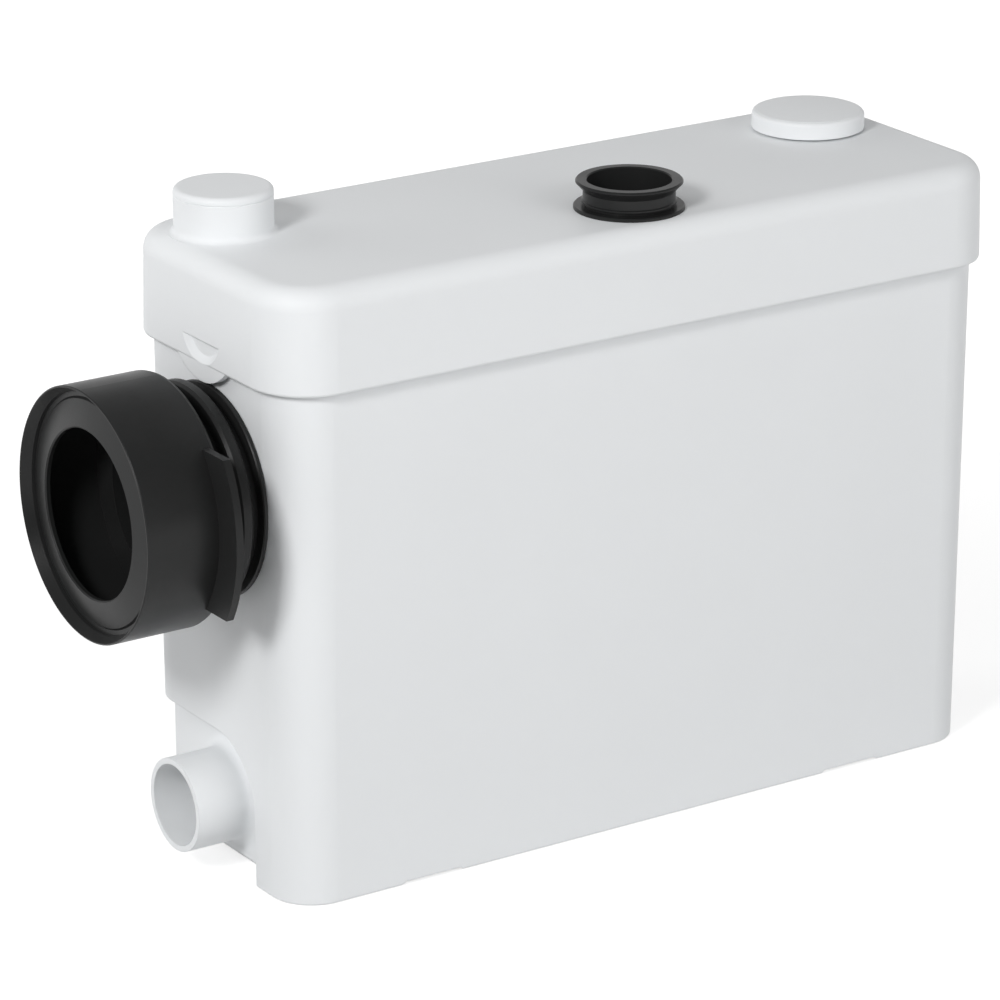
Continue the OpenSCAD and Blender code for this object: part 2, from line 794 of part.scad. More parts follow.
module valve_cup() {
    ear_h = 2 * valve_barrel_r;
    color(grey_plastic) translate([outlet_at[0], outlet_at[1], 0]) difference() {
        union() {
            tube(cup_r, cup_r - cup_wall, valve_z, valve_top);
            translate([0, 0, valve_z]) cylinder(r = cup_r, h = cup_floor);
            translate([0, 0, valve_z - tail_l]) cylinder(r = tail_r, h = tail_l + over);
            for (side = [0, 1]) mirror([0, side, 0])
                translate([valve_hinge_x, valve_barrel_l / 2 + lift_gap, valve_floor_z - over])
                    translate([-valve_barrel_r, 0, 0]) cube([2 * valve_barrel_r, valve_ear_t, ear_h + over]);
        }
        translate([0, 0, valve_z - tail_l - over])
            cylinder(r = valve_seat_r, h = tail_l + cup_floor + 2 * over);
        translate([valve_hinge_x, 0, valve_hinge_z]) across(valve_pin_r, valve_barrel_l + 3 * valve_ear_t);
    }
}

module discharge_flap() {
    color(black_rubber) translate([outlet_at[0], outlet_at[1], 0]) difference() {
        union() {
            intersection() {
                translate([0, 0, valve_floor_z]) cylinder(r = valve_flap_r, h = valve_flap_t);
                translate([-2 * valve_flap_r, -valve_flap_r, valve_floor_z - over])
                    cube([2 * valve_flap_r + 6.5, 2 * valve_flap_r, valve_flap_t + 2 * over]);
            }
            translate([0, -valve_barrel_l / 2, valve_floor_z])
                cube([valve_hinge_x, valve_barrel_l, valve_flap_t]);
            translate([valve_hinge_x, 0, valve_hinge_z]) across(valve_barrel_r, valve_barrel_l);
        }
        translate([valve_hinge_x, 0, valve_hinge_z]) across(valve_pin_r + run_gap, valve_barrel_l + 2 * over);
    }
}

module discharge_pin() {
    color(steel) translate([outlet_at[0] + valve_hinge_x, outlet_at[1], valve_hinge_z])
        across(valve_pin_r, valve_barrel_l + 2 * valve_ear_t);
}

// Round path of the discharge hose: fall, bend, moulded swell and slope, drawn in the plane of the bend
module hose_path(r, longer) {
    swell = 1.2;
    translate([hose_bend_x, outlet_at[1], hose_bend_z]) rotate([90, 0, 0]) {
        translate([-hose_bend, 0, 0]) rotate([-90, 0, 0]) cylinder(r = r, h = valve_z - hose_bend_z + longer);
        rotate([0, 0, 180]) rotate_extrude(angle = 90 - hose_fall) translate([hose_bend, 0]) circle(r);
        rotate([0, 0, 270 - hose_fall]) translate([hose_bend, 0, 0]) rotate([-90, 0, 0]) {
            sphere(r + swell);
            translate([0, 0, swell]) cylinder(r = r, h = slope_l + longer - swell);
        }
    }
}

// Stands a piece at the hose's lower end, with its height running up the slope
module at_pump() {
    translate([hose_end_x, outlet_at[1], hose_end_z]) rotate([0, hose_fall - 90, 0]) children();
}

module discharge_hose() {
    color(black_rubber) difference() {
        hose_path(hose_r, 0);
        hose_path(hose_bore / 2, over);
    }
}

// A worm-drive band with its screw housing
module band_clip() {
    tube(hose_r + clip_t, hose_r, 0, clip_w);
    translate([hose_r + clip_t - 0.4, -6, 1]) cube([5, 12, clip_w - 2]);
}

module hose_clips() {
    clip_in = 5;
    color(steel) {
        translate([outlet_at[0], outlet_at[1], valve_z - clip_in - clip_w]) rotate([0, 0, -90]) band_clip();
        at_pump() translate([0, 0, clip_in]) rotate([0, 0, -90]) band_clip();
    }
}

module side_flap() {
    color(black_rubber) translate([0, spigot_y, 0]) difference() {
        union() {
            translate([side_seat_x, 0, spigot_z]) rotate([0, 90, 0]) cylinder(r = flap_r, h = flap_t);
            translate([side_seat_x, -side_barrel_l / 2, spigot_z])
                cube([flap_t, side_barrel_l, side_hinge_z - spigot_z]);
            translate([side_hinge_x, 0, side_hinge_z]) across(side_barrel_r, side_barrel_l);
        }
        translate([side_hinge_x, 0, side_hinge_z]) across(side_pin_r + run_gap, side_barrel_l + 2 * over);
    }
}

module side_pin() {
    color(steel) translate([side_hinge_x, spigot_y, side_hinge_z])
        across(side_pin_r, side_barrel_l + 2 * lift_gap + 2 * ear_t);
}

module motor_housing() {
    bore_r = motor_d / 2 - motor_wall;
    pocket_wall = 4;
    color(black_plastic) difference() {
        translate([motor_x, 0, 0]) {
            tube(motor_d / 2, bore_r, housing_z, housing_top);
            tube(plate_d / 2, bore_r, housing_z, housing_z + motor_flange_t);
            translate([0, 0, housing_top - motor_wall]) cylinder(d = motor_d, h = motor_wall);
            tube(bearing_d / 2 + pocket_wall, bearing_d / 2, upper_bearing_z, housing_top - motor_wall / 2);
        }
        round_motor(4, 45) translate([screw_ring_r, 0, housing_z - over])
            cylinder(d = screw_d, h = motor_flange_t + 2 * over);
    }
}

module seal_plate() {
    color(grey_plastic) difference() {
        translate([motor_x, 0, plate_z]) cylinder(d = plate_d, h = plate_t);
        translate([motor_x, 0, plate_z]) {
            translate([0, 0, -over]) cylinder(d = seal_d, h = seal_l + over);
            cylinder(d = shaft_d + 2, h = plate_t);
            translate([0, 0, plate_t - bearing_sunk]) cylinder(d = bearing_d, h = plate_t);
        }
        round_motor(4, 45) translate([screw_ring_r, 0, plate_z - over])
            cylinder(d = screw_d, h = plate_t + 2 * over);
    }
}

module stator() {
    slot_count = 12;
    slot_deep = 0.55 * stator_wall;
    slot_w = 5;
    color(steel) difference() {
        translate([motor_x, 0, 0])
            tube(stator_d / 2, stator_bore / 2, stack_z, stack_z + stack_l);
        round_motor(slot_count, 0) translate([stator_bore / 2 - over, -slot_w / 2, stack_z - over])
            cube([slot_deep + over, slot_w, stack_l + 2 * over]);
    }
}

module windings() {
    color(copper) translate([motor_x, 0, 0]) {
        inner = stator_bore / 2 + 0.15 * stator_wall;
        outer = stator_d / 2 - 0.2 * stator_wall;
        for (low = [stack_z - coil_h, stack_z + stack_l]) translate([0, 0, low]) rotate_extrude() polygon([
            [inner, 0], [outer, 0], [outer, coil_h], [inner, coil_h]
        ]);
    }
}

module rotor_core() {
    ring_h = 5;
    color(steel) translate([motor_x, 0, 0]) {
        tube(rotor_d / 2, shaft_d / 2, stack_z, stack_z + stack_l);
        for (low = [stack_z - ring_h, stack_z + stack_l])
            tube(rotor_d / 2 - 3, shaft_d / 2 + 5, low, low + ring_h);
    }
}

module shaft() {
    color(steel) translate([motor_x, 0, shaft_foot]) cylinder(d = shaft_d, h = shaft_top - shaft_foot);
}

module bearings() {
    lower_z = plate_z + plate_t - bearing_sunk;
    color(steel) translate([motor_x, 0, 0])
        for (low = [lower_z, upper_bearing_z])
            tube(bearing_d / 2, shaft_d / 2 + run_gap, low, low + bearing_h);
}

module shaft_seal() {
    color(black_rubber) translate([motor_x, 0, 0])
        tube(seal_d / 2, shaft_d / 2 + run_gap, plate_z, plate_z + seal_l);
}

module cutter() {
    hub_d = shaft_d + 10;
    hub_h = 12;
    blade_w = 13;
    blade_t = 3;
    tooth_h = 11;
    tip = cutter_d / 2;
    color(steel) translate([motor_x, 0, cutter_z]) difference() {
        union() {
            cylinder(d = hub_d, h = hub_h);
            for (turn = [0, 180]) rotate([0, 0, turn]) {
                linear_extrude(blade_t) polygon([
                    [0, -blade_w / 2], [tip - 6, -blade_w / 2], [tip - 1, 0], [tip - 1, blade_w / 2 - 2],
                    [tip - 12, blade_w / 2], [0, blade_w / 2]
                ]);
                translate([tip - 6, -blade_w / 4, 0]) cube([4, blade_w / 2, tooth_h]);
            }
        }
        translate([0, 0, -over]) cylinder(d = shaft_d, h = hub_h + 2 * over);
    }
}

module basket() {
    ring_h = 6;
    hole_d = 7;
    hole_pitch = 9.5;
    rows = floor((basket_h - 2 * ring_h) / hole_pitch);
    columns = 24;
    mouth_w = 56;
    color(grey_plastic) difference() {
        translate([motor_x, 0, 0]) tube(pump_d / 2, pump_d / 2 - basket_wall, volute_top, plate_z);
        for (row = [0 : rows - 1]) round_motor(columns, 180 / columns * (row % 2))
            translate([pump_d / 2 - basket_wall - over, 0, volute_top + ring_h + hole_pitch * (row + 0.5)])
                rotate([0, 90, 0]) cylinder(d = hole_d, h = basket_wall + 2 * over);
        translate([motor_x - pump_d, -mouth_w / 2, volute_top + ring_h])
            cube([pump_d, mouth_w, basket_h - 2 * ring_h]);
    }
}

module impeller() {
    shroud_t = 3;
    hub_d = shaft_d + 10;
    vane_count = 5;
    vane_t = 2.6;
    vane_arc = impeller_d / 4 - 0.5;
    color(black_plastic) translate([motor_x, 0, impeller_z]) difference() {
        union() {
            translate([0, 0, impeller_h - shroud_t]) cylinder(d = impeller_d, h = shroud_t);
            cylinder(d = hub_d, h = impeller_h);
            for (k = [0 : vane_count - 1]) rotate([0, 0, 360 * k / vane_count])
                translate([impeller_d / 4, 0, 0]) rotate([0, 0, 15])
                    rotate_extrude(angle = 125)
                        translate([vane_arc - vane_t, 0]) square([vane_t, impeller_h - 1]);
        }
        translate([0, 0, -over]) cylinder(d = shaft_d, h = impeller_h + 2 * over);
    }
}

module impeller_nut() {
    nut_h = 6;
    low = impeller_z - nut_h;
    color(steel) translate([motor_x, 0, low]) difference() {
        cylinder(d = shaft_d + 9, h = nut_h, $fn = 6);
        translate([0, 0, -over]) cylinder(d = shaft_d, h = nut_h + 2 * over);
    }
}

module volute() {
    cavity_r = pump_d / 2 - pump_wall;
    spout_r = tail_r;
    collar_r = hose_r;
    spout_l = 20;
    reach = pump_d / 2 + 8;
    collar_l = reach - 12;
    hole_l = cover_thread_l + 2;
    color(grey_plastic) difference() {
        union() {
            translate([motor_x, 0, volute_z]) cylinder(d = pump_d, h = pump_h);
            at_pump() {
                translate([0, 0, -collar_l]) cylinder(r = collar_r, h = collar_l);
                cylinder(r = spout_r, h = spout_l);
            }
        }
        translate([motor_x, 0, volute_z - over]) {
            cylinder(r = cavity_r, h = pump_h - pump_wall + over);
            cylinder(d = shaft_d + 2, h = pump_h + 2 * over);
        }
        at_pump() translate([0, 0, -reach]) cylinder(d = pump_bore, h = reach + spout_l + over);
        round_motor(3, cover_screw_turn) translate([cover_screw_r, 0, volute_z - over])
            cylinder(d = cover_hole_d, h = hole_l + over);
        translate([motor_x - pump_d, -pump_d / 2, volute_z - pump_h]) cube([pump_d, pump_d, pump_h]);
    }
}

module volute_cover() {
    foot_d = 12;
    color(grey_plastic) difference() {
        union() {
            translate([motor_x, 0, cover_z]) cylinder(d = pump_d, h = cover_t);
            round_motor(3, 90) translate([pump_d / 2 - foot_d, 0, tank_wall])
                cylinder(d = foot_d, h = pump_foot_h + over);
        }
        translate([motor_x, 0, cover_z - over]) cylinder(d = eye_d, h = cover_t + 2 * over);
        round_motor(3, cover_screw_turn) translate([cover_screw_r, 0, cover_z - over])
            cylinder(d = cover_hole_d, h = cover_t + 2 * over);
    }
}

// A cap screw with its head up
module screw(d, l) {
    translate([0, 0, -l]) cylinder(d = d, h = l);
    difference() {
        cylinder(d = 1.75 * d, h = 0.8 * d);
        translate([0, 0, 0.35 * d]) cylinder(d = 0.9 * d, h = d, $fn = 6);
    }
}

module motor_screws() {
    color(steel) round_motor(4, 45)
        translate([screw_ring_r, 0, housing_z + motor_flange_t]) screw(screw_d, plate_t + motor_flange_t - 2);
}

module cover_screws() {
    color(steel) round_motor(3, cover_screw_turn)
        translate([cover_screw_r, 0, cover_z]) mirror([0, 0, 1])
            screw(cover_screw_d, cover_t + cover_thread_l);
}

module pressure_bell() {
    mouth_w = 8;
    mouth_h = 22;
    color(grey_plastic) translate([switch_at[0], switch_at[1], bell_z]) difference() {
        union() {
            cylinder(d = bell_d, h = bell_h);
            translate([0, 0, bell_h]) cylinder(d = switch_d, h = bell_flange_t);
        }
        translate([0, 0, -over]) cylinder(d = bell_d - 2 * bell_wall, h = bell_h + bell_flange_t + 2 * over);
        for (turn = [0, 90]) rotate([0, 0, turn])
            translate([-mouth_w / 2, -bell_d, -over]) cube([mouth_w, 2 * bell_d, mouth_h + over]);
    }
}

module diaphragm() {
    color(black_rubber) translate([switch_at[0], switch_at[1], diaphragm_z])
        cylinder(d = switch_d, h = diaphragm_t);
}

module switch_body() {
    wall = 3;
    color(black_plastic) translate([switch_at[0], switch_at[1], switch_z]) difference() {
        cylinder(d = switch_d, h = switch_h);
        translate([0, 0, -over]) cylinder(d = switch_d - 2 * wall, h = switch_h - switch_roof + over);
        cylinder(d = stem_d + 2 * run_gap, h = switch_h + over);
    }
}

module switch_plunger() {
    plate_r = switch_d / 2 - 6;
    plate_h = 3;
    color(white_plastic) translate([switch_at[0], switch_at[1], switch_z]) {
        cylinder(r = plate_r, h = plate_h);
        cylinder(d = stem_d, h = switch_h + stem_proud);
    }
}

module micro_switch() {
    case_l = 8;
    case_w = 20;
    lever_t = 0.8;
    lever_z = switch_h + stem_proud + switch_travel + lift_gap;
    case_in = stem_d / 2 + 3;
    color(black_plastic) translate([switch_at[0], switch_at[1], switch_z]) {
        translate([case_in, -case_w / 2, switch_h]) cube([case_l, case_w, lever_z + lever_t - switch_h]);
        translate([-stem_d / 2, -2.5, lever_z]) cube([case_in + stem_d / 2 + 1, 5, lever_t]);
    }
}

module capacitor() {
    color(white_plastic) translate([motor_x + motor_d / 4, 0, housing_top])
        soft_disc(capacitor_d / 2, capacitor_h, 2);
}

module terminal_box() {
    lid_t = 3;
    lip = 1.2;
    place = motor_x + motor_d / 4 - capacitor_d / 2 - 3 - box_l;
    color(grey_plastic) translate([place, -box_w / 2, housing_top]) {
        cube([box_l, box_w, box_h - lid_t]);
        translate([-lip, -lip, box_h - lid_t]) cube([box_l + 2 * lip, box_w + 2 * lip, lid_t]);
    }
}

module cable_gland() {
    nut_t = 5;
    bore_d = 8;
    color(black_plastic) translate([gland_x, gland_seat_y, gland_z]) rotate([90, 0, 0]) difference() {
        union() {
            translate([0, 0, -gland_t]) cylinder(d = gland_flange_d, h = gland_t, $fn = 6);
            cylinder(d = gland_hole_d, h = inlet_seat_t);
            translate([0, 0, inlet_seat_t]) cylinder(d = gland_flange_d, h = nut_t, $fn = 6);
        }
        translate([0, 0, -gland_t - over])
            cylinder(d = bore_d, h = gland_t + inlet_seat_t + nut_t + 2 * over);
    }
}

tank();
lid();
lid_seal();
wc_sleeve();
top_sleeve();
discharge_cap();
vent_cap();
vent_filter();
valve_cup();
discharge_flap();
discharge_pin();
discharge_hose();
hose_clips();
side_flap();
side_pin();
motor_housing();
seal_plate();
stator();
windings();
rotor_core();
shaft();
bearings();
shaft_seal();
cutter();
basket();
impeller();
impeller_nut();
volute();
volute_cover();
motor_screws();
cover_screws();
pressure_bell();
diaphragm();
switch_body();
switch_plunger();
micro_switch();
capacitor();
terminal_box();
cable_gland();
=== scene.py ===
import math

import bmesh
import bpy
from mathutils import Matrix, Vector


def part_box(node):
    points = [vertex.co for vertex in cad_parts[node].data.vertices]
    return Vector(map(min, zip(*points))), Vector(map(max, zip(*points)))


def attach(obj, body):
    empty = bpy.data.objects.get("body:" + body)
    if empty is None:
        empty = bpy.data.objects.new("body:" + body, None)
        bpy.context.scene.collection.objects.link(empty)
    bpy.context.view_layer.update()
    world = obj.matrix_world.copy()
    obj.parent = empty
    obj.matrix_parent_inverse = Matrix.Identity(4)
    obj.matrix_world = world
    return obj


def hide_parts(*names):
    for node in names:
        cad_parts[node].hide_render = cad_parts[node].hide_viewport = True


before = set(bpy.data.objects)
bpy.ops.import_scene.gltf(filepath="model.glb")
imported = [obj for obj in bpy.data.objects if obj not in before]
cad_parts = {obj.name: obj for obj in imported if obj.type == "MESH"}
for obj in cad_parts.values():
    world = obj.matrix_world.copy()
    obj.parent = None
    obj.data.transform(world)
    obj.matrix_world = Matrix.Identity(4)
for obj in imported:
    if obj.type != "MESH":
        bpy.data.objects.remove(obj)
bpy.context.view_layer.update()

bl_info = {
    "name": "Macerator Pump Looks",
    "version": (1, 0, 0),
    "blender": (4, 5, 0),
    "location": "View3D > Sidebar > Pump",
    "description": "Finishes, inner detail and stage of a macerator toilet pump",
    "category": "Object",
}

MM = 0.001
TURN = 2 * math.pi

# Nodes by finish
SHELLS = ["tank", "lid"]
CAPS = ["discharge_cap", "vent_cap"]
RUBBERS = [
    "wc_sleeve", "top_sleeve", "lid_seal", "discharge_flap", "discharge_hose", "side_flap", "shaft_seal",
    "diaphragm",
]
GREY_PLASTICS = ["valve_cup", "seal_plate", "basket", "volute", "volute_cover", "pressure_bell"]
BLACK_PLASTICS = ["motor_housing", "impeller", "switch_body"]
STEELS = [
    "discharge_pin", "side_pin", "shaft", "bearings", "cutter", "impeller_nut", "motor_screws",
    "cover_screws",
]
LAMINATIONS = ["stator", "rotor_core"]

# Route of the discharge hose, as in the part's source, in millimetres and degrees
HOSE_TOP = Vector((-127.2, 31.4, 252.1))
HOSE_END = Vector((58.0, 31.4, 33.0))
HOSE_FALL = 10.07
HOSE_RADIUS = 13.5
CLIP_INSET = 5.0
CLIP_WIDTH = 9.0

# Points of a modelled mesh that are nearer than this, in metres, become one
MERGE_DISTANCE = 0.000002

# Stage, in metres: the pump's middle, the lamps' distance from it, the floor and the camera
PUMP_MIDDLE = Vector((0.0, 0.0, 0.15))
LAMP_DISTANCE = 2.2
FLOOR_SIZE = 16
FLOOR_HEIGHT = -0.0004
CAMERA_PLACE = Vector((-1.1515, -1.7278, 0.8778))
CAMERA_RIGHT = Vector((0.833951, -0.551838, 0.0))
CAMERA_UP = Vector((0.185270, 0.279985, 0.941957))
CAMERA_BACK = Vector((-0.519808, -0.785546, 0.335733))

# Lamps: name, setting of the power, size, direction from the pump, and whether reflections show it
LAMPS = [
    ("Left lamp", "left_power", 0.45, (-0.76, -0.38, 0.53), True),
    ("Front lamp", "front_power", 1.4, (0.3, -0.88, 0.3), False),
    ("Back lamp", "back_power", 1.2, (-0.55, 0.75, 0.43), False),
]


class PumpFinish(bpy.types.PropertyGroup):
    """Colours and gloss of the pump's materials."""

    shell_colour: bpy.props.FloatVectorProperty(
        name="Shell Colour", description="White of the tank, lid and caps", subtype="COLOR",
        default=(0.877, 0.894, 0.907), min=0, max=1)
    shell_shade: bpy.props.FloatVectorProperty(
        name="Shell Shade", description="Second white that mottles the shell", subtype="COLOR",
        default=(0.855, 0.872, 0.884), min=0, max=1)
    shell_coat: bpy.props.FloatProperty(
        name="Shell Coat", description="Weight of the clear gloss on the shell", subtype="FACTOR",
        default=0.12, min=0, max=1)
    shell_edge: bpy.props.FloatProperty(
        name="Shell Edge", description="Radius to which the shell's sharp edges look rounded", unit="LENGTH",
        default=0.0006, min=0, max=0.002)
    rubber_colour: bpy.props.FloatVectorProperty(
        name="Rubber Colour", description="Black of the sleeves, seals and hose", subtype="COLOR",
        default=(0.016, 0.0162, 0.0162), min=0, max=1)
    rubber_bloom: bpy.props.FloatVectorProperty(
        name="Rubber Bloom", description="Greyer black where the rubber has bloomed", subtype="COLOR",
        default=(0.02, 0.0205, 0.0205), min=0, max=1)
    grey_colour: bpy.props.FloatVectorProperty(
        name="Grey Colour", description="Grey of the pump's casing and valve", subtype="COLOR",
        default=(0.33, 0.345, 0.36), min=0, max=1)
    black_colour: bpy.props.FloatVectorProperty(
        name="Black Colour", description="Black of the motor's housing", subtype="COLOR",
        default=(0.03, 0.03, 0.033), min=0, max=1)
    steel_colour: bpy.props.FloatVectorProperty(
        name="Steel Colour", description="Colour of the steel pieces", subtype="COLOR",
        default=(0.56, 0.57, 0.59), min=0, max=1)
    copper_colour: bpy.props.FloatVectorProperty(
        name="Copper Colour", description="Colour of the enamelled wire", subtype="COLOR",
        default=(0.5, 0.2, 0.07), min=0, max=1)


class PumpDetail(bpy.types.PropertyGroup):
    """Sizes of the detail that is modelled over the frame."""

    clip_slots: bpy.props.IntProperty(
        name="Clip Slots", description="Worm slots pressed into each band clip",
        default=22, min=4, max=40)
    gland_ribs: bpy.props.IntProperty(
        name="Gland Ribs", description="Grip ribs round the cable gland's nut",
        default=18, min=6, max=36)
    box_corner: bpy.props.FloatProperty(
        name="Box Corner", description="Corner radius of the terminal box", unit="LENGTH",
        default=0.004, min=0.001, max=0.008)
    can_groove: bpy.props.FloatProperty(
        name="Can Groove", description="Depth of the rolled groove of the capacitor", unit="LENGTH",
        default=0.0008, min=0.0002, max=0.0015)


class PumpStage(bpy.types.PropertyGroup):
    """Camera, floor and light."""

    lens: bpy.props.FloatProperty(
        name="Lens", description="Focal length of the camera in millimetres", unit="CAMERA",
        default=180.5, min=20, max=400)
    floor_colour: bpy.props.FloatVectorProperty(
        name="Floor Colour", description="Colour of the floor", subtype="COLOR",
        default=(0.62, 0.62, 0.62), min=0, max=1)
    floor_glow: bpy.props.FloatProperty(
        name="Floor Glow", description="Light that makes the floor white to the camera", subtype="FACTOR",
        default=0.66, min=0, max=1)
    far_glow: bpy.props.FloatProperty(
        name="Far Glow", description="Light that makes the floor white away from the pump", subtype="FACTOR",
        default=0.85, min=0, max=1)
    left_power: bpy.props.FloatProperty(
        name="Left Power", description="Power of the lamp beyond the toilet inlet", unit="POWER",
        default=22.5, min=0)
    front_power: bpy.props.FloatProperty(
        name="Front Power", description="Power of the soft lamp in front", unit="POWER",
        default=14.2, min=0)
    back_power: bpy.props.FloatProperty(
        name="Back Power", description="Power of the soft lamp behind the left end", unit="POWER",
        default=8.4, min=0)
    sky_level: bpy.props.FloatProperty(
        name="Sky Level", description="Light of the white surroundings on the pump", subtype="FACTOR",
        default=0.325, min=0, max=2)
    zenith_level: bpy.props.FloatProperty(
        name="Zenith Level", description="Brightness overhead in reflections", subtype="FACTOR",
        default=0.4, min=0, max=2)
    front_level: bpy.props.FloatProperty(
        name="Front Level", description="Brightness in front in reflections", subtype="FACTOR",
        default=0.2, min=0, max=2)


# Modelling helpers

def clear_selection():
    bpy.ops.object.select_all(action="DESELECT")


def open_edit(piece, kind):
    """Opens one piece for editing with nothing in it selected."""
    clear_selection()
    piece.select_set(True)
    bpy.context.view_layer.objects.active = piece
    bpy.ops.object.mode_set(mode="EDIT")
    bpy.ops.mesh.select_mode(type=kind)
    bpy.ops.mesh.select_all(action="DESELECT")


def pick(piece, kind, test):
    """Selects the faces or edges of the open piece that pass a test, and stops if none does."""
    mesh = bmesh.from_edit_mesh(piece.data)
    bpy.ops.mesh.select_all(action="DESELECT")
    chosen = [part for part in getattr(mesh, kind) if test(part)]
    for part in chosen:
        part.select_set(True)
    bmesh.update_edit_mesh(piece.data)
    if not chosen:
        raise RuntimeError("nothing to select on " + piece.name)


def close_edit(piece, crease=35):
    """Merges doubles, turns the faces outwards, leaves edit mode and smooths the soft edges."""
    bpy.ops.mesh.select_all(action="SELECT")
    bpy.ops.mesh.remove_doubles(threshold=MERGE_DISTANCE)
    bpy.ops.mesh.normals_make_consistent(inside=False)
    bpy.ops.object.mode_set(mode="OBJECT")
    bpy.ops.object.shade_smooth_by_angle(angle=math.radians(crease))


def turned(name, profile, steps=72):
    """Spins a closed profile of (radius, height) in millimetres round Z."""
    clear_selection()
    bpy.ops.mesh.primitive_circle_add(vertices=len(profile), radius=MM, fill_type="NOTHING")
    piece = bpy.context.object
    piece.name = name
    open_edit(piece, "VERT")
    mesh = bmesh.from_edit_mesh(piece.data)
    mesh.verts.ensure_lookup_table()
    for vert, (radius, height) in zip(mesh.verts, profile):
        vert.co = (radius * MM, 0, height * MM)
    bmesh.update_edit_mesh(piece.data)
    bpy.ops.mesh.select_all(action="SELECT")
    bpy.ops.mesh.spin(steps=steps, angle=TURN, center=(0, 0, 0), axis=(0, 0, 1))
    close_edit(piece)
    return piece


def block(name, low, high, soft, segments=3, which=None):
    """A box between two corners with all its edges, or those that pass a test, rounded, in millimetres."""
    clear_selection()
    low, high = Vector(low), Vector(high)
    bpy.ops.mesh.primitive_cube_add(size=1, location=(low + high) / 2 * MM, scale=(high - low) * MM)
    piece = bpy.context.object
    piece.name = name
    bpy.ops.object.transform_apply(location=True, rotation=True, scale=True)
    open_edit(piece, "EDGE")
    pick(piece, "edges", which or (lambda edge: True))
    bpy.ops.mesh.bevel(offset=soft * MM, segments=segments, affect="EDGES")
    close_edit(piece)
    return piece


def upright(edge):
    """True for an edge that runs along Z."""
    along = edge.verts[1].co - edge.verts[0].co
    return abs(along.z) > 0.9 * along.length


def crosswise(edge):
    """True for an edge that runs along Y."""
    along = edge.verts[1].co - edge.verts[0].co
    return abs(along.y) > 0.9 * along.length


def faces_up(face):
    return face.normal.z > 0.9


def push_faces(height):
    """Raises the selected faces by a height in millimetres, or sinks them if it is negative."""
    bpy.ops.mesh.extrude_region_shrink_fatten(
        MESH_OT_extrude_region={"use_normal_flip": False}, TRANSFORM_OT_shrink_fatten={"value": height * MM})


def cut_down(depth):
    """Cuts a slot of a depth in millimetres under the selected faces."""
    bpy.ops.mesh.extrude_region_move(TRANSFORM_OT_translate={"value": (0, 0, -depth * MM)})


def step_top(piece, rim, rise):
    """Leaves a rim round the top of a block and moves the rest of it up by a rise, in millimetres."""
    open_edit(piece, "FACE")
    pick(piece, "faces", faces_up)
    bpy.ops.mesh.inset(thickness=rim * MM)
    bpy.ops.transform.translate(value=(0, 0, rise * MM))
    close_edit(piece, crease=20)


def copied(piece, name, matrix):
    """A copy of a piece with its own mesh, placed by a matrix in metres."""
    twin = piece.copy()
    twin.data = piece.data.copy()
    twin.name = name
    bpy.context.scene.collection.objects.link(twin)
    twin.data.transform(matrix)
    return twin


def repeated(piece, places):
    """Copies of a piece at each matrix, in place of the piece itself."""
    twins = [copied(piece, piece.name + "_copy", place) for place in places]
    bpy.data.objects.remove(piece)
    return twins


def joined(name, pieces):
    """Several pieces made into one."""
    clear_selection()
    for piece in pieces:
        piece.select_set(True)
    bpy.context.view_layer.objects.active = pieces[0]
    bpy.ops.object.join()
    piece = bpy.context.object
    piece.name = name
    piece.data.name = name
    return piece


def moved(x, y, z):
    return Matrix.Translation(Vector((x, y, z)) * MM)


def turn(degrees, axis):
    return Matrix.Rotation(math.radians(degrees), 4, axis)


def angle_and_radius(point):
    """A point's angle round Z and its distance from Z."""
    return math.atan2(point.y, point.x) % TURN, math.hypot(point.x, point.y)


def hand_over(piece, body, finish, node=None):
    """Gives a modelled piece its body, slot and material, and hides the node that it stands for."""
    piece.data.materials.clear()
    piece.data.materials.append(finish)
    if node:
        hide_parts(node)
    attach(piece, body)


def node_box(node):
    """A node's lowest and highest corners in millimetres."""
    low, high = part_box(node)
    return low / MM, high / MM


# Material helpers

def add_node(tree, kind, **values):
    """Adds a node, with its options and the values of its inputs by name, an underscore for each space."""
    made = tree.nodes.new(kind)
    for name, value in values.items():
        socket = name.replace("_", " ")
        if socket in made.inputs:
            made.inputs[socket].default_value = value
        else:
            setattr(made, name, value)
    return made


def four(colour):
    return (colour[0], colour[1], colour[2], 1.0)


def scaled(colour, share):
    """A colour made darker or lighter by a factor."""
    return [share * part for part in colour]


def new_group(name, inputs, outputs):
    """Starts a shader node group with named sockets and returns its tree, inputs and outputs."""
    tree = bpy.data.node_groups.new(name, "ShaderNodeTree")
    for socket, kind in inputs:
        tree.interface.new_socket(name=socket, in_out="INPUT", socket_type=kind)
    for socket, kind in outputs:
        tree.interface.new_socket(name=socket, in_out="OUTPUT", socket_type=kind)
    return tree, tree.nodes.new("NodeGroupInput"), tree.nodes.new("NodeGroupOutput")


def use_group(tree, group, **values):
    """Adds a node group, with the values of its inputs by name."""
    return add_node(tree, "ShaderNodeGroup", node_tree=group, **values)


